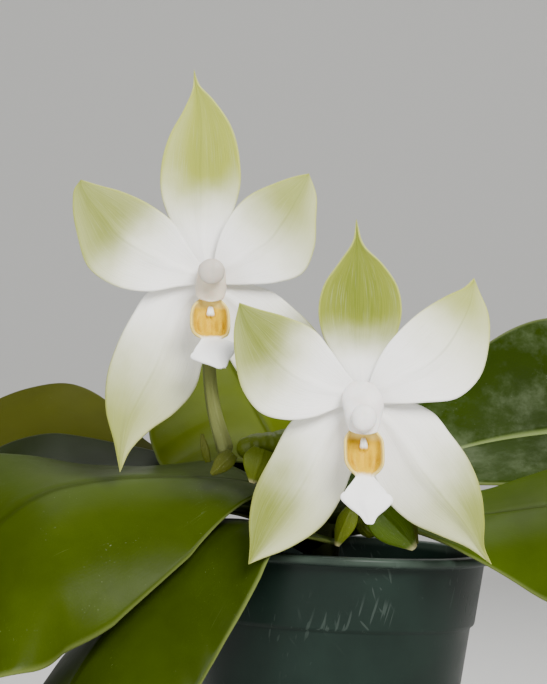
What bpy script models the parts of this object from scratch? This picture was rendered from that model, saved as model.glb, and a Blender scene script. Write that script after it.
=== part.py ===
"""Potted orchid: two star-shaped flowers on short spikes above seven broad leaves, in a round plastic pot.

The frame has +Z up and its origin at the centre of the pot's base. The flowers face -Y. Routes and outlines
are given in millimetres: the plant's heights are measured from the pot's rim, and a flower's outlines from
the middle of the flower. Everything that the scene receives is in metres.
"""

import math
from dataclasses import dataclass

import bmesh
import bpy
import numpy as np

MM = 0.001

# Pot
POT_HEIGHT = 0.082
POT_RIM_RADIUS = 0.0444
POT_RIM_HEIGHT = 0.0024
POT_RIM_OVERHANG = 0.0031
POT_COLLAR_HEIGHT = 0.0176
POT_COLLAR_STEP = 0.0010
POT_TAPER = math.radians(6.5)
POT_WALL = 0.0011
POT_FLOOR = 0.0018
POT_SEGMENTS = 56
DRAIN_HOLE_COUNT = 6
DRAIN_HOLE_RADIUS = 0.0034
DRAIN_RING_RADIUS = 0.0215

# Growing medium and what lies on it
CLEARANCE = 0.0003
MEDIUM_DEPTH_BELOW_RIM = 0.0125
MEDIUM_ROUGHNESS = 0.0008
CHIP_COUNT = 6
CHIP_SIZE = 0.0092
CHIP_RING_RADIUS = 0.027

# Plant
STEM_RADIUS = 0.0052
STEM_TOP_ABOVE_RIM = 0.018
ROOT_RADIUS = 0.0021
LEAF_THICKNESS = 0.0018
BRACT_THICKNESS = 0.0009
PEDUNCLE_RADIUS = 0.0026
RACHIS_RADIUS = 0.0031
PEDICEL_RADIUS = 0.0017

# Flowers
FLOWER_SPAN = 0.066
TEPAL_THICKNESS = 0.0008
TEPAL_LAYER_GAP = 0.0005
LIP_THICKNESS = 0.0008
COLUMN_SIDES = 20

# The sizes that the routes and outlines below are drawn for
DRAWN_RIM_RADIUS = 0.0444
DRAWN_FLOWER_SPAN = 0.066

SPREAD = POT_RIM_RADIUS / DRAWN_RIM_RADIUS
FLOWER_SCALE = FLOWER_SPAN / DRAWN_FLOWER_SPAN

STEM_AXIS = (-4.0, 2.0)


# ---------------------------------------------------------------------------------------------------------
# Curves and meshes
# ---------------------------------------------------------------------------------------------------------

def smooth_curve(points, stations):
    """Points at the given shares (0 to 1) of a smooth curve through the control points.

    Each span is a cubic with the slopes of its neighbours, over the chord length.
    """
    points = np.asarray(points, dtype=float)
    if points.ndim == 1:
        points = points[:, None]
        knots = np.linspace(0.0, 1.0, len(points))
    else:
        chords = np.linalg.norm(np.diff(points, axis=0), axis=1)
        knots = np.concatenate([[0.0], np.cumsum(chords)]) / chords.sum()
    slopes = np.gradient(points, knots, axis=0)
    stations = np.asarray(stations, dtype=float)
    span = np.clip(np.searchsorted(knots, stations, side="right") - 1, 0, len(knots) - 2)
    width = (knots[span + 1] - knots[span])[:, None]
    t = ((stations - knots[span])[:, None]) / width
    start = points[span] * (2 * t ** 3 - 3 * t ** 2 + 1) + slopes[span] * width * (t ** 3 - 2 * t ** 2 + t)
    end = points[span + 1] * (3 * t ** 2 - 2 * t ** 3) + slopes[span + 1] * width * (t ** 3 - t ** 2)
    return start + end


def smooth_values(values, stations):
    """A smooth run through single numbers that are spaced evenly from 0 to 1."""
    return smooth_curve(np.asarray(values, dtype=float), stations)[:, 0]


def above_rim(points):
    """Millimetre points, drawn for the drawn rim with heights from it, as metres in the frame."""
    return np.asarray(points, dtype=float) * MM * SPREAD + (0.0, 0.0, POT_HEIGHT)


def new_object(name, mesh, material):
    """Link a mesh object into the scene with its material."""
    obj = bpy.data.objects.new(name, mesh)
    mesh.materials.append(material)
    bpy.context.scene.collection.objects.link(obj)
    return obj


def shade(obj, angle=50):
    """Smooth shading, with edges sharper than the angle left crisp."""
    obj.data.shade_smooth()
    obj.data.set_sharp_from_angle(angle=math.radians(angle))


def mesh_from_bmesh(name, bm):
    """Turn a bmesh into a mesh with outward faces."""
    bmesh.ops.recalc_face_normals(bm, faces=bm.faces)
    mesh = bpy.data.meshes.new(name)
    bm.to_mesh(mesh)
    bm.free()
    return mesh


def sheet(name, grid, thickness, material):
    """A closed thin solid around a grid of points, with a Solidify modifier."""
    rows, columns, _ = grid.shape
    index = np.arange(rows * columns).reshape(rows, columns)
    corners = (index[:-1, :-1], index[:-1, 1:], index[1:, 1:], index[1:, :-1])
    faces = np.stack([corner.ravel() for corner in corners], axis=1)
    mesh = bpy.data.meshes.new(name)
    mesh.from_pydata(grid.reshape(-1, 3).tolist(), [], faces.tolist())
    obj = new_object(name, mesh, material)
    solidify = obj.modifiers.new("thickness", "SOLIDIFY")
    solidify.thickness = thickness
    solidify.offset = 0.0
    shade(obj)
    return obj


def tube(name, points, radii, material, sides=8):
    """A closed round rod along a smooth route, with a radius at each end and between, as a bevelled curve."""
    count = max(8, 3 * len(points))
    stations = np.linspace(0.0, 1.0, count)
    route = smooth_curve(points, stations)
    thickness = smooth_values(radii, stations)
    curve = bpy.data.curves.new(name, "CURVE")
    curve.dimensions = "3D"
    curve.bevel_depth = MM
    curve.bevel_resolution = sides // 4
    curve.use_fill_caps = True
    spline = curve.splines.new("POLY")
    spline.points.add(count - 1)
    for point, place, radius in zip(spline.points, route, thickness):
        point.co = (*place, 1.0)
        point.radius = radius / MM
    obj = bpy.data.objects.new(name, curve)
    curve.materials.append(material)
    bpy.context.scene.collection.objects.link(obj)
    return obj


def stack(name, rings, material):
    """A closed solid through a stack of rings with equally many points, with a flat face at each end."""
    bm = bmesh.new()
    loops = [[bm.verts.new(point) for point in ring] for ring in rings]
    for lower, upper in zip(loops, loops[1:]):
        for index in range(len(lower)):
            bm.faces.new((lower[index - 1], lower[index], upper[index], upper[index - 1]))
    bm.faces.new(loops[0])
    bm.faces.new(loops[-1])
    obj = new_object(name, mesh_from_bmesh(name, bm), material)
    shade(obj)
    return obj


def lathe(name, profile, material, segments):
    """A solid of revolution about Z: the closed outline of (radius, height) points is spun once round."""
    bm = bmesh.new()
    verts = [bm.verts.new((radius, 0.0, height)) for radius, height in profile]
    edges = [bm.edges.new((verts[i - 1], verts[i])) for i in range(len(verts))]
    bmesh.ops.spin(bm, geom=verts + edges, cent=(0, 0, 0), axis=(0, 0, 1), angle=2 * math.pi, steps=segments)
    bmesh.ops.remove_doubles(bm, verts=bm.verts, dist=0.00001)
    loose = [edge for edge in bm.edges if not edge.link_faces]
    bmesh.ops.delete(bm, geom=loose, context="EDGES")
    return new_object(name, mesh_from_bmesh(name, bm), material)


def finish(name, color, roughness, metallic=0.0):
    """A plain Principled material."""
    material = bpy.data.materials.new(name)
    material.use_nodes = True
    shader = material.node_tree.nodes["Principled BSDF"]
    shader.inputs["Base Color"].default_value = (*color, 1.0)
    shader.inputs["Roughness"].default_value = roughness
    shader.inputs["Metallic"].default_value = metallic
    return material


# ---------------------------------------------------------------------------------------------------------
# Pot and medium
# ---------------------------------------------------------------------------------------------------------

def pot_levels():
    """Heights of the rim's underside and of the collar's foot."""
    rim_foot = POT_HEIGHT - POT_RIM_HEIGHT
    return rim_foot, rim_foot - POT_COLLAR_HEIGHT


def pot_outer_radius(height):
    """Outer wall radius at a height: one taper, with a small step in below the collar."""
    rim_foot, collar_foot = pot_levels()
    radius = POT_RIM_RADIUS - POT_RIM_OVERHANG - (rim_foot - height) * math.tan(POT_TAPER)
    return radius if height >= collar_foot else radius - POT_COLLAR_STEP


def pot_inner_radius(height):
    """Inner wall radius, which stays clear of the step all the way up."""
    rim_foot, _ = pot_levels()
    outer = POT_RIM_RADIUS - POT_RIM_OVERHANG - (rim_foot - height) * math.tan(POT_TAPER)
    return outer - POT_COLLAR_STEP - POT_WALL


def make_pot(material):
    """Lathed shell with a lip and a collar, and a ring of drainage holes cut through the floor."""
    rim_foot, collar_foot = pot_levels()
    ease = 0.0005
    profile = [
        (0.0, 0.0),
        (pot_outer_radius(0.0) - ease, 0.0),
        (pot_outer_radius(ease), ease),
        (pot_outer_radius(collar_foot - ease), collar_foot - ease),
        (pot_outer_radius(collar_foot + ease), collar_foot + ease),
        (pot_outer_radius(rim_foot), rim_foot),
        (POT_RIM_RADIUS - ease, rim_foot),
        (POT_RIM_RADIUS, rim_foot + ease),
        (POT_RIM_RADIUS, POT_HEIGHT - ease),
        (POT_RIM_RADIUS - ease, POT_HEIGHT),
        (pot_inner_radius(POT_HEIGHT), POT_HEIGHT),
        (pot_inner_radius(POT_FLOOR), POT_FLOOR),
        (0.0, POT_FLOOR),
    ]
    pot = lathe("pot", profile, material, POT_SEGMENTS)
    bm = bmesh.new()
    for index in range(DRAIN_HOLE_COUNT):
        angle = 2 * math.pi * (index + 0.5) / DRAIN_HOLE_COUNT
        made = bmesh.ops.create_cone(
            bm, cap_ends=True, segments=16, depth=4 * POT_FLOOR,
            radius1=DRAIN_HOLE_RADIUS, radius2=DRAIN_HOLE_RADIUS,
        )
        place = (DRAIN_RING_RADIUS * math.cos(angle), DRAIN_RING_RADIUS * math.sin(angle), POT_FLOOR / 2)
        bmesh.ops.translate(bm, verts=made["verts"], vec=place)
    cutter = new_object("drain_hole_cutter", mesh_from_bmesh("drain_hole_cutter", bm), material)
    cutter.hide_render = True
    cutter.display_type = "WIRE"
    cut = pot.modifiers.new("drain_holes", "BOOLEAN")
    cut.operation = "DIFFERENCE"
    cut.object = cutter
    shade(pot)


def medium_top():
    """Mean height of the packed bark."""
    return POT_HEIGHT - MEDIUM_DEPTH_BELOW_RIM


def medium_height_at(x, y):
    """Height of the bark's uneven top: two crossing waves around the mean height."""
    wave = np.sin(410 * x + 1.3) * np.cos(350 * y + 0.4) + 0.5 * np.sin(690 * x - 520 * y)
    return medium_top() + MEDIUM_ROUGHNESS * wave / 1.5


def make_medium(material):
    """The bark body fills the pot from its floor and has an uneven top."""
    foot = POT_FLOOR + CLEARANCE
    profile = [(0.0, foot), (pot_inner_radius(foot) - CLEARANCE, foot)]
    profile.append((pot_inner_radius(medium_top()) - CLEARANCE, medium_top()))
    ring_count = 4
    for ring in range(ring_count - 1, -1, -1):
        profile.append((pot_inner_radius(medium_top()) * 0.96 * ring / ring_count, medium_top()))
    medium = lathe("bark_medium", profile, material, 28)
    edge = pot_inner_radius(medium_top()) * 0.9
    for vert in medium.data.vertices:
        if vert.co.z > medium_top() - 0.0001 and vert.co.xy.length < edge:
            vert.co.z = float(medium_height_at(vert.co.x, vert.co.y))
    shade(medium)


def make_chips(material):
    """Loose chips in a ring on the bark: flattened boxes, cut unevenly, each turned its own way."""
    directions = (15, 80, 144, 206, 262, 330)
    for index in range(CHIP_COUNT):
        angle = math.radians(directions[index])
        length = CHIP_SIZE * (1.0 + 0.22 * math.sin(2.1 * index))
        bm = bmesh.new()
        bmesh.ops.create_cube(bm, size=1.0)
        bmesh.ops.subdivide_edges(bm, edges=bm.edges, cuts=1, use_grid_fill=True)
        turn = 1.9 * index
        centre = (CHIP_RING_RADIUS * math.cos(angle), CHIP_RING_RADIUS * math.sin(angle))
        height = 0.42 * length
        base = medium_top() + MEDIUM_ROUGHNESS + CLEARANCE
        for number, vert in enumerate(bm.verts):
            uneven = 1.0 + 0.14 * math.sin(5.3 * number + index)
            x = vert.co.x * length * uneven
            y = vert.co.y * 0.66 * length * uneven
            z = (vert.co.z + 0.5) * height * (1.0 if vert.co.z < 0 else uneven)
            vert.co.x = centre[0] + x * math.cos(turn) - y * math.sin(turn)
            vert.co.y = centre[1] + x * math.sin(turn) + y * math.cos(turn)
            vert.co.z = base + z
        name = f"bark_chip_{index + 1}"
        chip = new_object(name, mesh_from_bmesh(name, bm), material)
        shade(chip, 30)


# ---------------------------------------------------------------------------------------------------------
# Stem, roots and leaves
# ---------------------------------------------------------------------------------------------------------

def stem_point(height_above_rim):
    """A point on the stem's axis, in millimetres from the rim's centre."""
    return (STEM_AXIS[0], STEM_AXIS[1], height_above_rim)


def stem_side(azimuth, height, reach):
    """A point beside the stem in metres: reach is measured out from the stem's surface."""
    angle = math.radians(azimuth)
    out = STEM_RADIUS + reach
    axis_x, axis_y, _ = above_rim([stem_point(0.0)])[0]
    return (axis_x + out * math.cos(angle), axis_y + out * math.sin(angle), above_rim([0, 0, height])[2])


def make_stem(material):
    """The short stem stands on the bark."""
    foot = medium_top() + MEDIUM_ROUGHNESS + CLEARANCE
    axis_x, axis_y, _ = above_rim([stem_point(0.0)])[0]
    top = POT_HEIGHT + STEM_TOP_ABOVE_RIM * SPREAD
    points = [(axis_x, axis_y, foot + (top - foot) * share) for share in (0.0, 0.3, 0.6, 0.9, 1.0)]
    radii = [STEM_RADIUS * share for share in (0.9, 1.0, 1.0, 0.9, 0.55)]
    tube("stem", points, radii, material, sides=12)


def make_roots(material):
    """Four roots arch out from the stem's foot and come down towards the bark."""
    azimuths = (-38, 48, 118, 165)
    for index, azimuth in enumerate(azimuths):
        floor = medium_top() + MEDIUM_ROUGHNESS + ROOT_RADIUS + CLEARANCE
        start = np.array(stem_side(azimuth, 0.0, ROOT_RADIUS + 2 * CLEARANCE))
        start[2] = floor + 0.0012
        angle = math.radians(azimuth)
        out = np.array((math.cos(angle), math.sin(angle), 0.0))
        side = np.array((-math.sin(angle), math.cos(angle), 0.0))
        reach = 0.30 * POT_RIM_RADIUS
        bend = 0.0022 * (1 if index % 2 else -1)
        points = [
            start,
            start + out * reach * 0.35 + side * bend + (0, 0, 0.0010),
            start + out * reach * 0.75 + side * bend * 0.3 + (0, 0, -0.0004),
            start + out * reach + (0, 0, floor - start[2]),
        ]
        tube(f"aerial_root_{index + 1}", points, [ROOT_RADIUS, ROOT_RADIUS, ROOT_RADIUS * 0.9], material)


@dataclass
class Leaf:
    """A leaf: where it leaves the stem, its midrib beyond that, and its two halves from base to tip.

    The midrib is in millimetres above the rim. Looking from base to tip, left and right give the half
    widths in millimetres, left_angle and right_angle the slopes at the midrib in degrees (up is positive),
    and left_curl and right_curl how far each half has turned by its margin.
    """

    name: str
    azimuth: float
    height: float
    midrib: list
    left: list
    right: list
    left_angle: list
    right_angle: list
    left_curl: list
    right_curl: list


LEAVES = [
    Leaf(
        "leaf_1", 205, 10.0,
        [(-24, -13, 15.8), (-44, -19, 17), (-64, -23, 15.5), (-80, -27, 11), (-93, -32, 0), (-105, -37, -22),
         (-112, -40, -48)],
        left=[5, 8, 26, 44, 52, 53, 46, 30, 16],
        right=[5, 14, 27, 37, 42, 42, 37, 25, 14],
        left_angle=[25, 0, -22, -28, -26, -20, -15, -10, 0],
        right_angle=[30, 22, 8, 4, 8, 18, 20, 10, 0],
        left_curl=[-8, -18, -34, -46, -50, -42, -30, -15, 0],
        right_curl=[0, -6, -8, -4, 4, 6, 0, 0, 0],
    ),
    Leaf(
        "leaf_2", 232, -1.0,
        [(-24, -17.5, 6.0), (-36, -24.5, 4.7), (-47, -31.5, -6), (-58, -39, -21), (-68, -46, -38), (-75, -51, -58)],
        left=[6, 27, 31, 34, 38, 39, 36, 26, 14],
        right=[5, 13, 17, 23, 28, 28, 27, 18, 10],
        left_angle=[12, 3, 1, -18, -24, -24, -20, -10, 0],
        right_angle=[20, 4, 0, -8, -14, -14, -14, -8, 0],
        left_curl=[0, -12, -10, -36, -38, -34, -26, -10, 0],
        right_curl=[0, -4, -14, -24, -24, -22, -18, -8, 0],
    ),
    Leaf(
        "leaf_3", 140, 2.0,
        [(-26, 26, 9), (-46, 40, 11), (-66, 47, 14), (-90, 54, 18), (-118, 60, 13), (-140, 64, 2), (-154, 66, -10)],
        left=[4, 6, 8, 10, 13, 15, 14, 10, 6],
        right=[4, 7, 8, 15, 29, 33, 28, 18, 10],
        left_angle=[10, -20, -30, -34, -32, -26, -18, -8, 0],
        right_angle=[30, 34, 40, 46, 50, 44, 32, 16, 0],
        left_curl=[0, -8, -16, -20, -20, -16, -10, -4, 0],
        right_curl=[0, 0, 0, -6, -12, -14, -8, 0, 0],
    ),
    Leaf(
        "leaf_4", 176, 6.5,
        [(-30, 7, 8.5), (-52, 11, 9.5), (-76, 14, 10), (-100, 14, 5), (-120, 11, -8), (-134, 8, -24)],
        left=[4, 10, 17, 24, 27, 25, 17, 9],
        right=[5, 20, 25, 30, 33, 31, 21, 11],
        left_angle=[20, 6, -14, -24, -26, -22, -12, 0],
        right_angle=[34, 40, 30, 30, 34, 24, 10, 0],
        left_curl=[0, -6, -14, -20, -20, -14, -8, 0],
        right_curl=[0, 0, -4, -8, -10, -6, 0, 0],
    ),
    Leaf(
        "leaf_5", 110, 14.5,
        [(-16, 19, 23), (-25, 36, 36), (-33, 54, 48), (-39, 68, 55), (-42, 77, 57.5)],
        left=[5, 20, 32, 33, 26, 17, 11],
        right=[5, 16, 27, 29, 24, 16, 10],
        left_angle=[20, 4, -14, -14, -10, -4, 0],
        right_angle=[26, 16, 6, 2, 0, 0, 0],
        left_curl=[0, -12, -22, -20, -14, -6, 0],
        right_curl=[0, -6, -10, -12, -8, -4, 0],
    ),
    Leaf(
        "leaf_6", 30, 9.5,
        [(14, 17, 17), (34, 28, 26.5), (60, 35, 32.5), (88, 39, 35), (116, 41, 31), (140, 41, 20), (156, 41, 8)],
        left=[5, 14, 25, 37, 41, 39, 31, 20, 11],
        right=[5, 13, 21, 27, 29, 28, 23, 15, 8],
        left_angle=[30, 44, 58, 64, 58, 44, 28, 12, 0],
        right_angle=[24, -2, -16, -20, -18, -14, -8, -4, 0],
        left_curl=[0, -2, -6, -10, -12, -12, -6, 0, 0],
        right_curl=[0, -8, -14, -16, -14, -10, -6, 0, 0],
    ),
    Leaf(
        "leaf_7", -22, 4.0,
        [(18, -13, 8), (38, -19, 11), (58, -23, 15), (84, -27, 16.5), (110, -29, 10), (132, -30, -7), (146, -30, -27)],
        left=[5, 12, 19, 28, 34, 34, 27, 17, 9],
        right=[5, 10, 21, 34, 44, 45, 37, 23, 12],
        left_angle=[26, 22, 24, 26, 22, 12, 4, 0, 0],
        right_angle=[20, 0, -16, -27, -24, -20, -14, -8, 0],
        left_curl=[0, -4, -6, -8, -8, -6, -4, 0, 0],
        right_curl=[0, -10, -24, -34, -34, -28, -18, -8, 0],
    ),
]


LEAF_TIP_STATIONS = (0.93, 0.975, 0.997)


def half_blade(width, angle, curl, share):
    """Run and rise across one half of a leaf, at a share of its half width.

    The cross-section is an arc: it leaves the midrib at the angle and has turned by the curl at the margin.
    """
    turned = np.where(np.abs(curl) < 0.001, 0.001, curl)
    run = width * (np.sin(angle + turned * share) - np.sin(angle)) / turned
    rise = width * (np.cos(angle) - np.cos(angle + turned * share)) / turned
    return run, rise


def make_leaf(leaf, material):
    """A blade: each half swings out level from the midrib and up or down by its arc.

    The half widths close to a rounded tip by the root of 1 less the sixth power of the share.
    """
    share = np.concatenate([np.linspace(0.0, 0.86, 13), LEAF_TIP_STATIONS])
    rows = len(share)
    closing = np.sqrt(1 - share ** 6)
    base = stem_side(leaf.azimuth, leaf.height, LEAF_THICKNESS + 2 * CLEARANCE)
    midrib = smooth_curve(np.vstack([[base], above_rim(leaf.midrib)]), share)
    heading = np.gradient(midrib, axis=0) * (1, 1, 0)
    heading /= np.linalg.norm(heading, axis=1)[:, None]
    left_hand = np.stack([-heading[:, 1], heading[:, 0], np.zeros(rows)], axis=1)
    across = np.array((-1.0, -0.66, -0.33, 0.0, 0.33, 0.66, 1.0))
    grid = np.empty((rows, len(across), 3))
    for column, place in enumerate(across):
        if place > 0:
            width, angle, curl = leaf.left, leaf.left_angle, leaf.left_curl
        else:
            width, angle, curl = leaf.right, leaf.right_angle, leaf.right_curl
        width = smooth_values(width, share) * closing * MM * SPREAD
        angle = np.radians(smooth_values(angle, share))
        curl = np.radians(smooth_values(curl, share))
        run, rise = half_blade(width, angle, curl, abs(place))
        side = math.copysign(1.0, place)
        grid[:, column] = midrib + left_hand * (side * run)[:, None]
        grid[:, column, 2] += rise
    sheet(leaf.name, grid, LEAF_THICKNESS, material)


# ---------------------------------------------------------------------------------------------------------
# Flowers
# ---------------------------------------------------------------------------------------------------------

@dataclass
class Tepal:
    """A petal or sepal in the flower's face: its two edges, from base to tip, and its depth.

    Looking from base to tip, left and right are the edges' points in millimetres, across and up from the
    flower's middle. layer is +1 for the front whorl and -1 for the back one. arch is how far the middle of
    its length comes forward, tip how far the tip does, and cup how far the edges do.
    """

    name: str
    layer: int
    left: list
    right: list
    arch: float
    tip: float
    cup: float


@dataclass
class Flower:
    """A flower: the middle of its face in millimetres above the rim, its tepals, lip and column.

    The lip's half widths, lifts and slants run from its hinge to its point. The column is a stack of
    sections from the top down: height, middle across, half width, and how far forward its back and front are.
    """

    name: str
    middle: tuple
    tepals: list
    lip_line: list
    lip_half_width: list
    lip_lift: list
    lip_slant: list
    column: list
    cap_middle: tuple
    cap_radii: tuple
    pedicel: list


FLOWER_A = Flower(
    "flower_a", (-38.4, -32.0, 70.4),
    tepals=[
        Tepal(
            "dorsal_sepal", -1,
            left=[(-1.6, 2.8), (-6.0, 8.5), (-11.3, 16.5), (-13.9, 24.0), (-14.1, 30.7), (-12.4, 38.5),
                  (-8.9, 45.9), (-6.9, 51.5), (-6.8, 56.7)],
            right=[(1.4, 2.8), (2.2, 10.0), (5.4, 18.4), (7.2, 26.5), (6.8, 32.4), (4.2, 41.5), (-1.5, 49.2),
                   (-5.2, 52.8), (-6.8, 56.7)],
            arch=-0.5, tip=-2.0, cup=1.2,
        ),
        Tepal(
            "petal_left", 1,
            left=[(-0.9, -0.6), (-7.1, -1.4), (-15.7, -3.2), (-24.4, -2.2), (-31.8, 2.3), (-35.1, 10.2),
                  (-37.0, 19.4), (-36.8, 23.0), (-35.2, 25.6)],
            right=[(-0.9, 3.0), (-5.3, 8.8), (-10.1, 15.5), (-16.2, 19.7), (-24.3, 23.0), (-30.5, 24.4),
                   (-35.2, 25.6)],
            arch=1.8, tip=0.5, cup=0.8,
        ),
        Tepal(
            "petal_right", 1,
            left=[(1.0, 3.2), (1.8, 10.0), (4.1, 16.5), (8.7, 22.8), (16.4, 27.3), (22.5, 29.7), (25.3, 30.4)],
            right=[(1.0, -0.6), (10.7, 0.0), (18.6, 1.0), (24.9, 3.7), (27.7, 10.5), (27.8, 18.5), (27.6, 24.5),
                   (25.3, 30.4)],
            arch=1.8, tip=0.5, cup=0.8,
        ),
        Tepal(
            "lateral_sepal_left", -1,
            left=[(-0.5, -2.8), (-0.3, -11.0), (-0.5, -21.1), (-2.2, -28.6), (-7.0, -35.0), (-13.7, -40.4),
                  (-18.4, -45.8), (-20.8, -51.7)],
            right=[(-3.2, -0.6), (-9.5, -0.8), (-15.7, -3.2), (-19.8, -9.6), (-23.6, -18.0), (-25.8, -26.7),
                   (-25.5, -35.5), (-22.9, -43.6), (-20.8, -51.7)],
            arch=-0.8, tip=1.5, cup=-1.4,
        ),
        Tepal(
            "lateral_sepal_right", -1,
            left=[(3.2, -0.6), (9.5, 0.4), (16.5, -1.2), (23.2, -5.7), (29.5, -11.5), (33.8, -20.0),
                  (35.0, -29.0), (34.0, -37.5), (32.3, -45.3)],
            right=[(0.6, -2.8), (2.2, -9.0), (4.6, -15.8), (9.8, -24.3), (17.0, -30.0), (25.0, -35.0),
                   (29.8, -40.0), (32.3, -45.3)],
            arch=-0.8, tip=1.0, cup=-1.4,
        ),
    ],
    lip_line=[(0.9, -4.4, 3.2), (1.0, -6.0, 3.1), (1.2, -9.4, 3.6), (1.5, -13.0, 5.0), (1.8, -14.8, 7.4),
              (2.2, -16.6, 10.4), (3.0, -18.6, 12.6), (4.2, -20.6, 14.2), (5.4, -22.2, 15.2)],
    lip_half_width=[2.4, 4.3, 4.9, 5.0, 4.9, 4.2, 2.4, 3.2, 4.6, 5.8, 4.4, 2.2, 0.7],
    lip_lift=[0.6, 4.0, 6.4, 7.4, 6.8, 4.0, 1.0, 0.5, 0.2, -0.5, -0.5, -0.3, 0.0],
    lip_slant=[0.0, 0.0, 0.0, 0.05, 0.3, 0.3, 0.3],
    column=[(5.4, 0.7, 2.6, 3.2, 6.4), (4.2, 0.8, 3.4, 2.9, 8.0), (2.2, 0.9, 3.8, 2.8, 8.7),
            (0.2, 0.9, 4.0, 2.8, 8.5), (-1.8, 0.9, 4.1, 3.0, 7.8), (-3.6, 0.9, 3.7, 4.6, 7.2),
            (-5.0, 0.9, 2.8, 5.8, 6.9)],
    cap_middle=(1.0, 2.9, 10.9),
    cap_radii=(3.5, 3.4, 1.6),
    pedicel=[(0.0, 0.0, -1.0), (0.0, -4.0, -8.0), (0.2, -12.0, -13.0), (1.0, -22.0, -13.0),
             (2.8, -33.0, -9.5), (7.2, -45.8, -3.7)],
)

FLOWER_B = Flower(
    "flower_b", (3.6, -52.0, 41.8),
    tepals=[
        Tepal(
            "dorsal_sepal", -1,
            left=[(-1.6, 2.8), (-5.6, 8.0), (-11.2, 16.5), (-12.6, 22.5), (-11.7, 29.0), (-7.6, 36.0),
                  (-4.7, 41.0), (-4.0, 47.0)],
            right=[(1.6, 2.8), (4.6, 9.5), (8.2, 18.0), (9.0, 24.0), (7.6, 30.0), (3.6, 35.5), (-1.8, 40.6),
                   (-4.0, 47.0)],
            arch=0.5, tip=1.0, cup=1.4,
        ),
        Tepal(
            "petal_left", 1,
            left=[(-0.9, -0.6), (-6.1, -2.3), (-12.5, -5.0), (-19.5, -6.0), (-26.0, -4.6), (-30.9, 0.7),
                  (-33.5, 9.2), (-34.2, 17.0), (-33.2, 23.7)],
            right=[(-0.9, 3.0), (-4.6, 7.2), (-9.0, 12.8), (-13.1, 17.3), (-21.1, 20.7), (-28.5, 22.4),
                   (-33.2, 23.7)],
            arch=1.8, tip=1.0, cup=0.8,
        ),
        Tepal(
            "petal_right", 1,
            left=[(1.0, 3.0), (2.4, 7.9), (4.6, 13.0), (8.2, 18.1), (13.6, 23.6), (20.4, 28.3), (25.2, 31.0),
                  (27.3, 33.3)],
            right=[(1.0, -0.6), (6.5, -0.5), (16.0, 0.3), (24.9, 2.2), (29.8, 7.3), (31.9, 15.5), (31.5, 24.0),
                   (28.6, 30.4), (27.3, 33.3)],
            arch=1.8, tip=0.0, cup=0.8,
        ),
        Tepal(
            "lateral_sepal_left", -1,
            left=[(-0.4, -3.0), (-0.9, -12.0), (-2.0, -19.5), (-4.3, -26.2), (-8.2, -32.8), (-16.7, -39.3),
                  (-25.0, -43.0), (-27.3, -44.1)],
            right=[(-3.2, -0.6), (-9.0, -0.8), (-14.0, -2.8), (-17.6, -6.0), (-22.6, -15.5), (-27.0, -26.1),
                   (-27.7, -33.2), (-27.2, -39.0), (-27.3, -44.1)],
            arch=-0.8, tip=1.5, cup=-1.4,
        ),
        Tepal(
            "lateral_sepal_right", -1,
            left=[(3.4, -0.6), (9.0, 0.2), (14.0, -0.2), (18.5, -2.2), (23.3, -7.4), (28.8, -14.4),
                  (32.1, -21.7), (33.5, -30.0), (33.8, -36.5), (35.8, -40.8)],
            right=[(0.6, -3.0), (1.9, -11.0), (4.0, -19.0), (7.8, -25.6), (14.1, -31.0), (22.1, -34.2),
                   (29.5, -36.9), (35.8, -40.8)],
            arch=-0.8, tip=1.5, cup=-1.4,
        ),
    ],
    lip_line=[(0.5, -7.4, 3.4), (0.7, -9.2, 3.2), (0.9, -12.0, 3.4), (1.1, -15.2, 4.6), (1.3, -17.4, 6.4),
              (1.6, -20.4, 9.0), (2.0, -23.8, 11.2), (2.6, -27.8, 12.6), (3.2, -31.2, 13.2)],
    lip_half_width=[2.8, 4.6, 4.9, 4.9, 4.7, 3.7, 2.1, 3.2, 4.9, 6.5, 4.7, 2.0, 0.7],
    lip_lift=[0.6, 4.0, 6.0, 6.9, 6.4, 4.0, 1.0, 0.5, 0.2, -0.6, -0.6, -0.3, 0.0],
    lip_slant=[0.0, 0.0],
    column=[(5.2, -0.4, 1.8, 3.2, 4.2), (4.0, -0.3, 3.4, 3.0, 5.2), (2.2, -0.2, 4.8, 2.9, 6.4),
            (0.4, 0.0, 5.4, 2.9, 7.3), (-1.6, 0.2, 5.3, 3.1, 7.9), (-3.6, 0.3, 4.9, 3.6, 8.1),
            (-5.6, 0.4, 4.4, 4.8, 8.1), (-7.4, 0.5, 3.8, 6.2, 8.1), (-8.6, 0.6, 3.0, 7.1, 8.0)],
    cap_middle=(0.4, -4.2, 10.2),
    cap_radii=(3.3, 3.5, 1.6),
    pedicel=[(0.0, 0.0, -1.0), (0.6, -3.4, -5.4), (2.2, -10.0, -9.4), (3.6, -18.0, -11.6),
             (4.2, -29.5, -13.0)],
)


def in_flower(flower, points):
    """Points of a flower (across, up, forward, in millimetres) as metres in the frame."""
    points = np.asarray(points, dtype=float) * MM * FLOWER_SCALE
    middle = above_rim([flower.middle])[0]
    return np.stack(
        [middle[0] + points[..., 0], middle[1] - points[..., 2], middle[2] + points[..., 1]], axis=-1
    )


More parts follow.
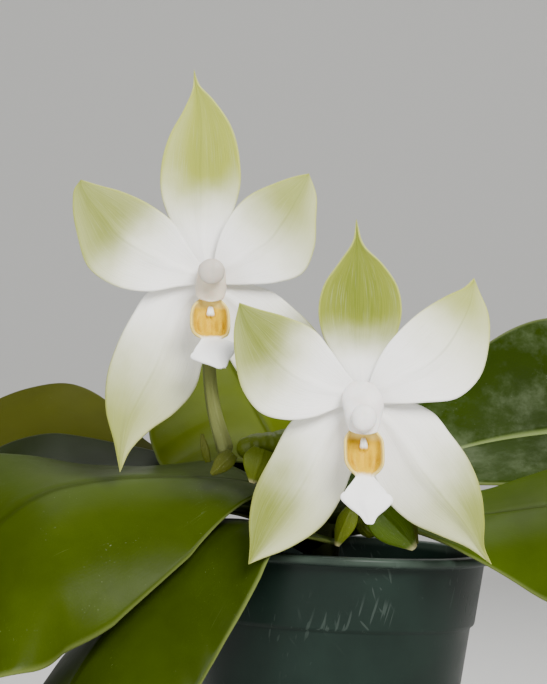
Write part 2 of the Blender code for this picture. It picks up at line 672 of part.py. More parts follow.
def make_tepal(flower, tepal, material):
    """A tepal: the span between its two edges, bowed by its arch along and its cup across."""
    along = np.concatenate([np.linspace(0.0, 0.84, 9), (0.90, 0.95, 0.985)])
    across = np.linspace(0.0, 1.0, 6)
    left = smooth_curve(tepal.left, along)
    right = smooth_curve(tepal.right, along)
    face = left[:, None, :] * (1 - across)[None, :, None] + right[:, None, :] * across[None, :, None]
    layer = tepal.layer * (TEPAL_THICKNESS + TEPAL_LAYER_GAP) / 2 / (MM * FLOWER_SCALE)
    length_bow = tepal.arch * np.sin(np.pi * along) + tepal.tip * along ** 2
    cross_bow = np.sin(np.pi * along)[:, None] * (2 * across - 1)[None, :] ** 2
    depth = layer + length_bow[:, None] + tepal.cup * cross_bow
    grid = in_flower(flower, np.concatenate([face, depth[..., None]], axis=2))
    sheet(f"{flower.name}_{tepal.name}", grid, TEPAL_THICKNESS, material)


def make_lip(flower, material):
    """The lip: a channel whose sides stand up as the side lobes, narrowing to a flat pointed middle lobe.

    The slant lifts the right-hand side of a cross-section and lowers the left.
    """
    along = np.linspace(0.0, 1.0, 17)
    across = np.linspace(-1.0, 1.0, 7)
    line = smooth_curve(np.asarray(flower.lip_line), along)
    half = smooth_values(flower.lip_half_width, along)
    lift = smooth_values(flower.lip_lift, along)
    grid = np.repeat(line[:, None, :], len(across), axis=1)
    slant = smooth_values(flower.lip_slant, along)
    reach = half[:, None] * np.sin(across * np.pi / 2)[None, :]
    grid[..., 0] += reach
    grid[..., 1] += reach * slant[:, None]
    grid[..., 2] += lift[:, None] * np.abs(across)[None, :] ** 3
    sheet(f"{flower.name}_lip", in_flower(flower, grid), LIP_THICKNESS, material)


def make_column(flower, column_material, cap_material):
    """The column is a stack of oval sections, and its cap a flattened dome in front of it."""
    turn = np.linspace(0.0, 2 * np.pi, COLUMN_SIDES, endpoint=False)
    rings = np.empty((len(flower.column), COLUMN_SIDES, 3))
    for row, (height, middle, half_width, back, front) in enumerate(flower.column):
        rings[row, :, 0] = middle + half_width * np.cos(turn)
        rings[row, :, 1] = height
        rings[row, :, 2] = (front + back) / 2 + (front - back) / 2 * np.sin(turn)
    stack(f"{flower.name}_column", in_flower(flower, rings), column_material)
    bm = bmesh.new()
    bmesh.ops.create_uvsphere(bm, u_segments=14, v_segments=8, radius=1.0)
    middle = in_flower(flower, flower.cap_middle)
    across, up, deep = (radius * MM * FLOWER_SCALE for radius in flower.cap_radii)
    for vert in bm.verts:
        vert.co = (middle[0] + vert.co.x * across, middle[1] + vert.co.y * deep, middle[2] + vert.co.z * up)
    name = f"{flower.name}_anther_cap"
    cap = new_object(name, mesh_from_bmesh(name, bm), cap_material)
    shade(cap)


def make_pedicel(flower, material):
    """The flower stalk, thicker at the ovary behind the flower.

    Its foot stays at the spike for any size of flower: the route is moved by a square of the share of its length.
    """
    back = (TEPAL_THICKNESS * 1.5 + TEPAL_LAYER_GAP + 0.0028 + CLEARANCE) / (MM * FLOWER_SCALE)
    points = np.array(flower.pedicel)
    points[:, 2] -= back - 1.0
    radii = [PEDICEL_RADIUS * share for share in (1.25, 1.3, 1.1, 1.1, 1.2, 1.45)]
    route = in_flower(flower, points)
    across, up, forward = points[-1]
    foot = above_rim(np.array(flower.middle) + (across, -forward, up))
    route += (foot - route[-1]) * np.linspace(0.0, 1.0, len(route))[:, None] ** 2
    tube(f"{flower.name}_pedicel", route, radii, material)


def make_flower(flower, tepal_material, lip_material, column_material, pedicel_material):
    """All the pieces of one flower."""
    for tepal in flower.tepals:
        make_tepal(flower, tepal, tepal_material)
    make_lip(flower, lip_material)
    make_column(flower, column_material, column_material)
    make_pedicel(flower, pedicel_material)


# ---------------------------------------------------------------------------------------------------------
# Spikes
# ---------------------------------------------------------------------------------------------------------

@dataclass
class Bract:
    """A pointed scale: its foot and tip in millimetres above the rim, its width, and the side it cups to."""

    name: str
    foot: tuple
    tip: tuple
    half_width: float
    facing: tuple
    bulge: float


BRACTS = [
    Bract("spike_1_bract_1", (-35.8, -26.5, 22.5), (-37.8, -26.5, 29.8), 1.4, (-0.8, -0.6, 0.0), 1.2),
    Bract("spike_1_bract_2", (-29.4, -31.2, 25.4), (-34.8, -32.0, 19.6), 2.4, (-0.2, -1.0, -0.3), 1.2),
    Bract("spike_1_bract_3", (-21.4, -32.2, 26.8), (-24.0, -32.8, 18.0), 4.4, (0.1, -1.0, -0.1), 1.6),
    Bract("spike_2_bract_1", (8.4, -39.6, 13.8), (19.6, -41.0, 3.4), 5.4, (0.3, -1.0, -0.2), 2.8),
    Bract("spike_2_bract_2", (3.0, -38.0, 12.6), (-0.6, -39.6, 2.8), 2.7, (-0.4, -1.0, 0.1), 1.6),
    Bract("spike_2_bract_3", (14.6, -33.0, 13.0), (20.4, -34.4, 4.0), 3.6, (0.6, -0.8, 0.2), 1.6),
]


def make_bract(bract, material):
    """A scale from foot to tip: half widths swell and close, and the middle bulges towards its facing side."""
    foot, tip = above_rim([bract.foot, bract.tip])
    along = np.linspace(0.0, 1.0, 9)
    across = np.linspace(-1.0, 1.0, 5)
    facing = np.array(bract.facing) / np.linalg.norm(bract.facing)
    run = tip - foot
    side = np.cross(run / np.linalg.norm(run), facing)
    side /= np.linalg.norm(side)
    width = smooth_values([0.62, 0.92, 1.0, 0.84, 0.50, 0.12], along) * bract.half_width * MM
    bulge = bract.bulge * MM * (1 - across[None, :] ** 2) * np.sin(np.pi * (0.15 + 0.8 * along))[:, None]
    line = foot + run * along[:, None]
    grid = line[:, None, :] + side * (width[:, None] * across[None, :])[..., None] + facing * bulge[..., None]
    sheet(bract.name, grid, BRACT_THICKNESS, material)


def make_spikes(material, bract_material):
    """Two short spikes: a peduncle from the stem, and a thicker rachis that the flower stalk stands on."""
    start = stem_side(-84, 14.5, PEDUNCLE_RADIUS + 2 * CLEARANCE)
    peduncle = np.vstack([[start], above_rim([(-1.5, -12.5, 22.0), (-2.5, -19.0, 28.5), (-8.0, -24.5, 31.2)])])
    tube("spike_1_peduncle", peduncle, [PEDUNCLE_RADIUS, PEDUNCLE_RADIUS, PEDUNCLE_RADIUS * 1.1], material)
    rachis = above_rim([(-11.8, -26.4, 31.0), (-18.0, -27.4, 28.4), (-24.0, -27.4, 27.4), (-28.4, -26.6, 25.6)])
    tube("spike_1_rachis", rachis, [RACHIS_RADIUS * share for share in (1.0, 1.1, 1.1, 0.95)], material)
    start = stem_side(-78, 8.0, PEDUNCLE_RADIUS + 2 * CLEARANCE)
    peduncle = np.vstack([[start], above_rim([(0.5, -14.0, 10.6), (3.0, -19.5, 11.0), (6.0, -26.0, 10.2)])])
    tube("spike_2_peduncle", peduncle, [PEDUNCLE_RADIUS, PEDUNCLE_RADIUS, PEDUNCLE_RADIUS * 1.1], material)
    rachis = above_rim([(7.0, -29.4, 9.4), (8.0, -33.0, 8.2), (9.5, -36.0, 9.4)])
    tube("spike_2_rachis", rachis, [RACHIS_RADIUS * share for share in (1.0, 1.1, 0.8)], material)
    for bract in BRACTS:
        make_bract(bract, bract_material)


# ---------------------------------------------------------------------------------------------------------
# The whole plant
# ---------------------------------------------------------------------------------------------------------

def main():
    """Clear the scene and build every piece."""
    for obj in list(bpy.data.objects):
        bpy.data.objects.remove(obj, do_unlink=True)

    pot_plastic = finish("pot_plastic", (0.013, 0.030, 0.023), 0.35)
    bark = finish("bark", (0.085, 0.045, 0.024), 0.9)
    root_skin = finish("root_skin", (0.36, 0.40, 0.30), 0.75)
    leaf_green = finish("leaf_green", (0.050, 0.085, 0.006), 0.38)
    leaf_olive = finish("leaf_olive", (0.125, 0.118, 0.014), 0.55)
    stem_green = finish("stem_green", (0.035, 0.055, 0.006), 0.45)
    bract_green = finish("bract_green", (0.085, 0.150, 0.012), 0.4)
    pedicel_green = finish("pedicel_green", (0.24, 0.27, 0.10), 0.5)
    tepal_white = finish("tepal_white", (0.66, 0.68, 0.55), 0.5)
    lip_yellow = finish("lip_yellow", (0.72, 0.48, 0.05), 0.5)
    column_white = finish("column_white", (0.72, 0.70, 0.66), 0.5)

    make_pot(pot_plastic)
    make_medium(bark)
    make_chips(bark)
    make_stem(stem_green)
    make_roots(root_skin)
    for leaf in LEAVES:
        make_leaf(leaf, leaf_olive if leaf.name == "leaf_3" else leaf_green)
    make_spikes(stem_green, bract_green)
    for flower in (FLOWER_A, FLOWER_B):
        make_flower(flower, tepal_white, lip_yellow, column_white, pedicel_green)


main()
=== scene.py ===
"""Looks of the potted orchid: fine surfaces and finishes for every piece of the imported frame.

The frame has +Z up and its origin at the centre of the pot's base, and the flowers face -Y. Routes and
outlines are in millimetres: the plant's heights count from the pot's rim, and a flower's outlines from the
middle of its face. Everything that reaches the scene is in metres.
"""
from __future__ import annotations

import logging
import math
from collections.abc import Sequence
from dataclasses import dataclass, field
from enum import Enum

import bpy
import numpy as np
from mathutils import Matrix, Vector


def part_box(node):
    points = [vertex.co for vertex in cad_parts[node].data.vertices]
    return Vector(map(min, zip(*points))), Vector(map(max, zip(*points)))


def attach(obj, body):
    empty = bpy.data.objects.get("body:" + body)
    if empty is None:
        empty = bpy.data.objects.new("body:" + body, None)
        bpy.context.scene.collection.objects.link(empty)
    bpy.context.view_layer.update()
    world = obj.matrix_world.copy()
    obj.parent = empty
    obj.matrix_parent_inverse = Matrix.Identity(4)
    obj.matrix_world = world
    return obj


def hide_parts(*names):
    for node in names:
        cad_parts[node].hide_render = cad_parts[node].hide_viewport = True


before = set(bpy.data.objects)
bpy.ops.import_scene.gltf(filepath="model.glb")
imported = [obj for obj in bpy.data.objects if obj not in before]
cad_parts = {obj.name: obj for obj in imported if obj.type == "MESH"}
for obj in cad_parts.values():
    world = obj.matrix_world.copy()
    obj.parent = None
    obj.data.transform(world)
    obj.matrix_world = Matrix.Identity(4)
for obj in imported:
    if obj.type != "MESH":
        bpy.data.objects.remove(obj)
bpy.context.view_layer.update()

LOG = logging.getLogger("orchid")
MM = 0.001
BODY = "root"
RIM_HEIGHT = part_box("pot")[1][2]
RIM_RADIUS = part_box("pot")[1][0]
STEM_SINK = 0.0011
MEDIUM_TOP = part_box("stem")[0][2] - STEM_SINK
TIP_SHARE = 0.1

Array = np.ndarray
Colour = tuple[float, float, float]
Point = tuple[float, float, float]


# ---------------------------------------------------------------------------------------------------------
# Curves and surfaces
# ---------------------------------------------------------------------------------------------------------

def smooth_curve(points: Sequence | Array, stations: Array) -> Array:
    """Points on a smooth curve: each span is a cubic between two points, with its neighbours' slopes.

    Args:
        points: Control points, or single numbers spaced evenly.
        stations: Shares of the whole length, from 0 to 1.

    Returns:
        One row for each station.
    """
    points = np.asarray(points, dtype=float)
    if points.ndim == 1:
        points = points[:, None]
        knots = np.linspace(0.0, 1.0, len(points))
    else:
        chords = np.linalg.norm(np.diff(points, axis=0), axis=1)
        knots = np.concatenate([[0.0], np.cumsum(chords)]) / chords.sum()
    slopes = np.gradient(points, knots, axis=0)
    span = np.clip(np.searchsorted(knots, stations, side="right") - 1, 0, len(knots) - 2)
    width = (knots[span + 1] - knots[span])[:, None]
    t = (stations - knots[span])[:, None] / width
    start = points[span] * (2 * t ** 3 - 3 * t ** 2 + 1) + slopes[span] * width * (t ** 3 - 2 * t ** 2 + t)
    end = points[span + 1] * (3 * t ** 2 - 2 * t ** 3) + slopes[span + 1] * width * (t ** 3 - t ** 2)
    return start + end


def smooth_values(values: Sequence[float], stations: Array) -> Array:
    """A smooth run through numbers that are spaced evenly from 0 to 1."""
    return smooth_curve(np.asarray(values, dtype=float), stations)[:, 0]


def graded(rows: int, tail: int, closest: float) -> Array:
    """Shares along a piece: even at first, then drawing together over the last tenth, towards the tip.

    In that tenth the distance to the end falls as a square, down to the square of the closest value.
    """
    even = np.linspace(0.0, 1 - TIP_SHARE, rows - tail, endpoint=False)
    return np.concatenate([even, 1 - TIP_SHARE * np.linspace(1.0, closest, tail) ** 2])


def unit(vectors: Array) -> Array:
    """Vectors of length one along the last axis."""
    vectors = np.asarray(vectors, dtype=float)
    return vectors / np.maximum(np.linalg.norm(vectors, axis=-1, keepdims=True), 1e-12)


def ripple(x: Array, y: Array, seed: float = 0.0) -> Array:
    """Smooth uneven waves of about unit height: five sines whose directions and lengths don't repeat."""
    total = np.zeros(np.broadcast(x, y).shape)
    for turn in range(5):
        angle = seed + 2.4 * turn
        pace = 1.0 + 0.63 * turn
        wave = np.sin(pace * (x * math.cos(angle) + y * math.sin(angle)) + 1.7 * angle)
        total = total + wave / (1.0 + 0.5 * turn)
    return total / 2.2


@dataclass
class Surface:
    """Points, faces and one or more values at each point, before they become an object."""

    points: Array
    quads: Array
    triangles: Array = field(default_factory=lambda: np.empty((0, 3), dtype=int))
    values: dict[str, Array] = field(default_factory=dict)

    def outward(self) -> Surface:
        """The surface with its faces pointing out: reversed where the enclosed volume is negative."""
        corners = np.concatenate([self.quads[:, [0, 1, 2]], self.quads[:, [0, 2, 3]], self.triangles])
        a, b, c = (self.points[corners[:, k]] for k in range(3))
        if np.einsum("ij,ij->", a, np.cross(b, c)) < 0:
            self.quads = self.quads[:, ::-1]
            self.triangles = self.triangles[:, ::-1]
        return self


def joined(surfaces: Sequence[Surface]) -> Surface:
    """Several surfaces as one, with the values that they share."""
    starts = np.cumsum([0] + [len(each.points) for each in surfaces])
    shared = set(surfaces[0].values)
    for each in surfaces:
        shared &= set(each.values)
    return Surface(
        np.concatenate([each.points for each in surfaces]),
        np.concatenate([each.quads + start for each, start in zip(surfaces, starts)]),
        np.concatenate([each.triangles + start for each, start in zip(surfaces, starts)]),
        {name: np.concatenate([each.values[name] for each in surfaces]) for name in sorted(shared)},
    )


def band(rows: int, columns: int, closed: bool) -> Array:
    """Quads between neighbouring rows of a grid, running round to the first column where it is closed."""
    index = np.arange(rows * columns).reshape(rows, columns)
    after = np.roll(index, -1, axis=1)
    if not closed:
        index, after = index[:, :-1], after[:, :-1]
    faces = (index[:-1], after[:-1], after[1:], index[1:])
    return np.stack([face.ravel() for face in faces], axis=1)


def shell(grid: Array, thickness: Array, values: dict[str, Array]) -> Surface:
    """A closed skin around a grid of points: half the thickness to each side, along the grid's normals.

    Args:
        grid: Points, as rows along the piece and columns across it.
        thickness: Full thickness at each point.
        values: A value at each grid point, by name. The value "side" is added: 1 in front, 0 behind.

    Returns:
        The closed surface, with its two end rows closed by quads.
    """
    rows, columns, _ = grid.shape
    normal = unit(np.cross(np.gradient(grid, axis=1), np.gradient(grid, axis=0)))
    offset = normal * (thickness / 2)[..., None]
    loop = np.concatenate([grid + offset, (grid - offset)[:, ::-1]], axis=1)
    around = 2 * columns
    j = np.arange(columns - 1)
    last = (rows - 1) * around
    foot = np.stack([j + 1, j, around - 1 - j, around - 2 - j], axis=1)
    tip = np.stack([last + j, last + j + 1, last + around - 2 - j, last + around - 1 - j], axis=1)
    both = {name: np.concatenate([value, value[:, ::-1]], axis=1).ravel() for name, value in values.items()}
    both["side"] = np.concatenate([np.ones((rows, columns)), np.zeros((rows, columns))], axis=1).ravel()
    quads = np.concatenate([band(rows, around, True), foot, tip])
    return Surface(loop.reshape(-1, 3), quads, values=both).outward()


def loft(loops: Array, values: dict[str, Array]) -> Surface:
    """A closed skin over a stack of closed loops, with a point in the middle of each end."""
    rows, around, _ = loops.shape
    points = np.concatenate([loops.reshape(-1, 3), loops[:1].mean(axis=1), loops[-1:].mean(axis=1)])
    foot, tip = rows * around, rows * around + 1
    j = np.arange(around)
    after = (j + 1) % around
    last = (rows - 1) * around
    ends = [np.stack([after, j, np.full(around, foot)], axis=1)]
    ends.append(np.stack([last + j, last + after, np.full(around, tip)], axis=1))
    spread = {
        name: np.concatenate([value.ravel(), [value[0].mean(), value[-1].mean()]])
        for name, value in values.items()
    }
    return Surface(points, band(rows, around, True), np.concatenate(ends), spread).outward()


def rod(
    points: Sequence | Array,
    radii: Sequence[float],
    rows: int = 72,
    around: int = 28,
    ribs: int = 0,
    rib_depth: float = 0.0,
    knobs: float = 0.0,
    reference: Point = (0.0, 0.3, 1.0),
) -> Surface:
    """A rounded rod: a circle of changing radius is carried along a smooth route and closes in at both ends.

    Args:
        points: The route in metres.
        radii: Radii in metres, spaced evenly from end to end.
        rows: Circles along the route.
        around: Points round each circle.
        ribs: Lengthwise ribs round the section.
        rib_depth: Depth of the ribs, as a share of the radius.
        knobs: Depth of uneven swellings, as a share of the radius.
        reference: A direction that the route never takes.

    Returns:
        The closed surface with values "along" and "around", both from 0 to 1.
    """
    share = 0.5 - 0.5 * np.cos(np.pi * np.linspace(0.0, 1.0, rows))
    route = smooth_curve(points, share)
    radius = smooth_values(radii, share)
    travelled = np.concatenate([[0.0], np.cumsum(np.linalg.norm(np.diff(route, axis=0), axis=1))])
    from_end = np.minimum(travelled, travelled[-1] - travelled) / radius
    closing = np.sqrt(np.clip(1 - (1 - np.minimum(from_end, 1.0)) ** 2, 0.0004, 1.0))
    heading = unit(np.gradient(route, axis=0))
    side = unit(np.cross(heading, np.asarray(reference)))
    rise = unit(np.cross(side, heading))
    turn = np.linspace(0.0, 2 * np.pi, around, endpoint=False)
    shape = 1 + rib_depth * np.cos(ribs * turn)[None, :]
    shape = shape + knobs * ripple(share[:, None] * 26, np.sin(turn)[None, :] * 2.1, radii[0] * 1e4)
    reach = (radius * closing)[:, None] * shape
    loops = (
        route[:, None, :]
        + side[:, None, :] * (reach * np.cos(turn))[..., None]
        + rise[:, None, :] * (reach * np.sin(turn))[..., None]
    )
    along = np.repeat(share[:, None], around, axis=1)
    values = {"along": along, "around": np.repeat(turn[None, :] / (2 * np.pi), rows, axis=0)}
    return loft(loops, values)


def revolved(profile: Array, segments: int) -> Surface:
    """A profile of (radius, height) points turned once round Z, open where the profile is open."""
    turn = np.linspace(0.0, 2 * np.pi, segments, endpoint=False)
    ring = np.stack([np.cos(turn), np.sin(turn)], axis=1)
    flat = profile[:, None, :1] * ring[None]
    height = np.repeat(profile[:, None, 1:], segments, axis=1)
    points = np.concatenate([flat, height], axis=2).reshape(-1, 3)
    return Surface(points, band(len(profile), segments, True))


def arc(centre: tuple[float, float], radius: float, start: float, end: float, steps: int = 6) -> list[tuple]:
    """Points of a round corner in a profile, from one angle to another in degrees."""
    angles = np.radians(np.linspace(start, end, steps))
    return [(centre[0] + radius * math.cos(a), centre[1] + radius * math.sin(a)) for a in angles]


def add_piece(
    name: str, surface: Surface, material: bpy.types.Material, nodes: Sequence[str]
) -> bpy.types.Object:
    """Make the object, smooth it, hang it on the body's empty, and hide the frame's nodes that it replaces.

    Args:
        name: Name of the piece.
        surface: Its points, faces and values.
        material: Its finish.
        nodes: The frame's nodes that it replaces.

    Returns:
        The new object, at the origin.
    """
    mesh = bpy.data.meshes.new(name)
    faces = surface.quads.tolist() + surface.triangles.tolist()
    mesh.from_pydata(surface.points.tolist(), [], faces)
    for value_name, value in surface.values.items():
        attribute = mesh.attributes.new(value_name, "FLOAT", "POINT")
        attribute.data.foreach_set("value", np.ascontiguousarray(value, dtype=np.float32))
    mesh.materials.append(material)
    mesh.shade_smooth()
    piece = bpy.data.objects.new(name, mesh)
    bpy.context.scene.collection.objects.link(piece)
    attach(piece, BODY)
    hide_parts(*nodes)
    LOG.info("%s: %d faces", name, len(faces))
    return piece


# ---------------------------------------------------------------------------------------------------------
# Shader expressions
# ---------------------------------------------------------------------------------------------------------

class Term:
    """A socket in a shader expression. Arithmetic on it adds Math nodes."""

    def __init__(self, graph: Graph, socket: bpy.types.NodeSocket) -> None:
        """Keep the graph that the socket belongs to."""
        self.graph = graph
        self.socket = socket

    def math(self, operation: str, *values: Term | float) -> Term:
        """The result of a Math node on these values."""
        return self.graph.node("ShaderNodeMath", {"operation": operation}, dict(enumerate(values)))

    def __add__(self, other: Term | float) -> Term:
        """Sum."""
        return self.math("ADD", self, other)

    __radd__ = __add__

    def __sub__(self, other: Term | float) -> Term:
        """Difference."""
        return self.math("SUBTRACT", self, other)

    def __rsub__(self, other: float) -> Term:
        """A number less this."""
        return self.math("SUBTRACT", other, self)

    def __mul__(self, other: Term | float) -> Term:
        """Product."""
        return self.math("MULTIPLY", self, other)

    __rmul__ = __mul__

    def __abs__(self) -> Term:
        """Size without sign."""
        return self.math("ABSOLUTE", self)

    def step(self, low: float, high: float) -> Term:
        """A soft step: 0 below low, 1 above high, and the other way round where low is the higher."""
        settings = {"interpolation_type": "SMOOTHSTEP"}
        if low < high:
            return self.graph.node("ShaderNodeMapRange", settings, {0: self, 1: low, 2: high, 3: 0.0, 4: 1.0})
        return self.graph.node("ShaderNodeMapRange", settings, {0: self, 1: high, 2: low, 3: 1.0, 4: 0.0})

    def clamped(self) -> Term:
        """Held between 0 and 1."""
        return self.graph.node("ShaderNodeClamp", {}, {0: self, 1: 0.0, 2: 1.0})


class Graph:
    """A material under construction."""

    def __init__(self, name: str) -> None:
        """Start with one Principled shader."""
        self.material = bpy.data.materials.new(name)
        self.material.use_nodes = True
        self.tree = self.material.node_tree
        self.shader = self.tree.nodes["Principled BSDF"]

    def node(
        self, kind: str, settings: dict[str, object], inputs: dict[int | str, object], output: int | str = 0
    ) -> Term:
        """Add one node.

        Args:
            kind: The node's type.
            settings: Its properties, set first; "stops" sets a ramp's stops as (place, colour) pairs.
            inputs: Values or terms for its sockets, by index or name.
            output: The output socket to return.

        Returns:
            The output as a term.
        """
        made = self.tree.nodes.new(kind)
        for name, value in settings.items():
            if name != "stops":
                setattr(made, name, value)
                continue
            ramp = made.color_ramp
            while len(ramp.elements) < len(value):
                ramp.elements.new(0.5)
            for element, (place, colour) in zip(ramp.elements, value):
                element.position = place
                element.color = (*colour, 1.0)
        for key, value in inputs.items():
            if isinstance(value, Term):
                self.tree.links.new(value.socket, made.inputs[key])
            else:
                made.inputs[key].default_value = value
        return Term(self, made.outputs[output])

    def value(self, name: str) -> Term:
        """One of the piece's own values."""
        settings = {"attribute_type": "GEOMETRY", "attribute_name": name}
        return self.node("ShaderNodeAttribute", settings, {}, "Fac")

    def place(self, stretch: Point = (1.0, 1.0, 1.0)) -> Term:
        """Object coordinates in metres, stretched by a factor along each axis."""
        coordinates = self.node("ShaderNodeTexCoord", {}, {}, "Object")
        return self.node("ShaderNodeVectorMath", {"operation": "MULTIPLY"}, {0: coordinates, 1: stretch})

    def flow(self, x: Term | float, y: Term | float, z: Term | float = 0.0) -> Term:
        """A vector from three terms, for a pattern that follows the piece."""
        return self.node("ShaderNodeCombineXYZ", {}, {0: x, 1: y, 2: z})

    def axis(self, vector: Term, name: str) -> Term:
        """One axis of a vector, by its letter."""
        return self.node("ShaderNodeSeparateXYZ", {}, {0: vector}, name)

    def noise(self, vector: Term, scale: float, detail: float = 3.0, rough: float = 0.5) -> Term:
        """Soft noise from 0 to 1."""
        inputs = {"Vector": vector, "Scale": scale, "Detail": detail, "Roughness": rough}
        return self.node("ShaderNodeTexNoise", {}, inputs)

    def cells(self, vector: Term, scale: float) -> Term:
        """Distance to the nearest of scattered points."""
        return self.node("ShaderNodeTexVoronoi", {}, {"Vector": vector, "Scale": scale}, "Distance")

    def mix(self, factor: Term, first: Colour | Term, second: Colour | Term) -> Term:
        """The first colour where the factor is 0 and the second where it is 1."""
        inputs = {0: factor}
        for key, colour in ((6, first), (7, second)):
            inputs[key] = colour if isinstance(colour, Term) else (*colour, 1.0)
        return self.node("ShaderNodeMix", {"data_type": "RGBA", "clamp_factor": True}, inputs, 2)

    def bump(self, height: Term, depth: float, strength: float = 1.0) -> Term:
        """A normal that is bent by a height from 0 to 1, which stands for a depth in metres."""
        return self.node("ShaderNodeBump", {}, {"Height": height, "Distance": depth, "Strength": strength})

    def finish(self, constants: dict[str, object], linked: dict[str, Term]) -> bpy.types.Material:
        """Set the shader's own sockets, link what changes over the surface, and return the material."""
        for name, value in constants.items():
            self.shader.inputs[name].default_value = value
        for name, term in linked.items():
            self.tree.links.new(term.socket, self.shader.inputs[name])
        return self.material


# ---------------------------------------------------------------------------------------------------------
# Finishes
# ---------------------------------------------------------------------------------------------------------

@dataclass(frozen=True)
class PotPlastic:
    """Dark green moulded plastic, dull from handling, with fine scratches and dried water marks."""

    name: str = "pot_plastic"
    base: Colour = (0.0045, 0.0120, 0.0085)
    worn: Colour = (0.0090, 0.0200, 0.0150)
    scratch: Colour = (0.090, 0.115, 0.100)
    # Colour of the painted highlight on the lip, where light catches the rim.
    painted_rim_highlight: Colour = (0.050, 0.072, 0.055)
    scratch_draw: float = 0.022

    def material(self) -> bpy.types.Material:
        """Cloudy wear, two directions of thresholded scratches, and a fine moulded grain."""
        graph = Graph(self.name)
        place = graph.place()
        cloud = graph.noise(place, 38.0, 4.0, 0.6).step(0.35, 0.75)
        scratches = graph.noise(place, 500.0).step(0.74, 0.80) * 0.5
        for lean, pace in ((0.30, 900.0), (-0.22, 1050.0), (0.75, 800.0)):
            leaning = {"Vector": place, "Angle": lean}
            turned = graph.node("ShaderNodeVectorRotate", {"rotation_type": "Y_AXIS"}, leaning)
            drawn_out = {0: turned, 1: (1.0, 1.0, self.scratch_draw)}
            drawn = graph.node("ShaderNodeVectorMath", {"operation": "MULTIPLY"}, drawn_out)
            patch = graph.noise(turned, 62.0, 1.0).step(0.56, 0.70)
            scratches = scratches + graph.noise(drawn, pace, 1.0, 0.3).step(0.655, 0.70) * patch
        scratches = scratches.clamped()
        marks = graph.cells(place, 260.0).step(0.20, 0.02) * graph.noise(place, 90.0).step(0.55, 0.75)
        # Painted highlight: the top few millimetres of the wall, the lip, are lightened where light catches
        # the rim.
        lip = graph.axis(place, "Z").step(RIM_HEIGHT - 0.0026, RIM_HEIGHT - 0.0012)
        colour = graph.mix(cloud * 0.8, self.base, self.worn)
        colour = graph.mix(lip * (cloud * 0.5 + 0.4), colour, self.painted_rim_highlight)
        colour = graph.mix(scratches * 0.22, colour, self.scratch)
        colour = graph.mix(marks * 0.12, colour, self.scratch)
        grain = graph.noise(place, 2600.0, 2.0)
        height = grain * 0.5 - scratches * 1.5
        rough = 0.36 + cloud * 0.12 + scratches * 0.2 + grain * 0.06
        return graph.finish(
            {"Specular IOR Level": 0.16},
            {"Base Color": colour, "Roughness": rough, "Normal": graph.bump(height, 0.00006, 0.5)},
        )


@dataclass(frozen=True)
class Bark:
    """Dry conifer bark in layers of brown."""

    name: str = "bark"
    dark: Colour = (0.030, 0.014, 0.008)
    middle: Colour = (0.115, 0.055, 0.027)
    light: Colour = (0.26, 0.150, 0.085)
    scale: float = 1.0

    def material(self) -> bpy.types.Material:
        """Layered noise through three browns, with cracks between flakes."""
        graph = Graph(self.name)
        place = graph.place()
        layers = graph.noise(graph.place((1.0, 1.0, 3.2)), 190.0 * self.scale, 6.0, 0.65)
        flakes = graph.cells(place, 420.0 * self.scale)
        stops = ((0.25, self.dark), (0.52, self.middle), (0.78, self.light))
        brown = graph.node("ShaderNodeValToRGB", {"stops": stops}, {0: layers * 0.8 + flakes * 0.25})
        crack = graph.noise(place, 900.0 * self.scale, 4.0, 0.7)
        colour = graph.mix(crack.step(0.55, 0.40) * 0.5, brown, self.dark)
        height = layers + crack * 0.5 + flakes * 0.4
        return graph.finish({"Roughness": 0.88}, {"Base Color": colour, "Normal": graph.bump(height, 0.0007)})


@dataclass(frozen=True)
class RootSkin:
    """Silvery root skin that turns green where it is moist."""

    name: str = "root_skin"
    dry: Colour = (0.44, 0.46, 0.38)
    moist: Colour = (0.17, 0.24, 0.10)

    def material(self) -> bpy.types.Material:
        """Blotches of green and grey with a felt-like grain and long wrinkles."""
        graph = Graph(self.name)
        place = graph.place()
        blotch = graph.noise(place, 160.0, 4.0, 0.6).step(0.38, 0.66)
        wrinkle = graph.noise(graph.flow(graph.value("along") * 4.0, graph.value("around") * 26.0), 2.0, 3.0)
        grain = graph.noise(place, 3200.0, 2.0)
        colour = graph.mix(blotch, self.moist, self.dry)
        return graph.finish(
            {"Roughness": 0.72},
            {"Base Color": colour, "Normal": graph.bump(wrinkle + grain * 0.4, 0.00025, 0.7)},
        )


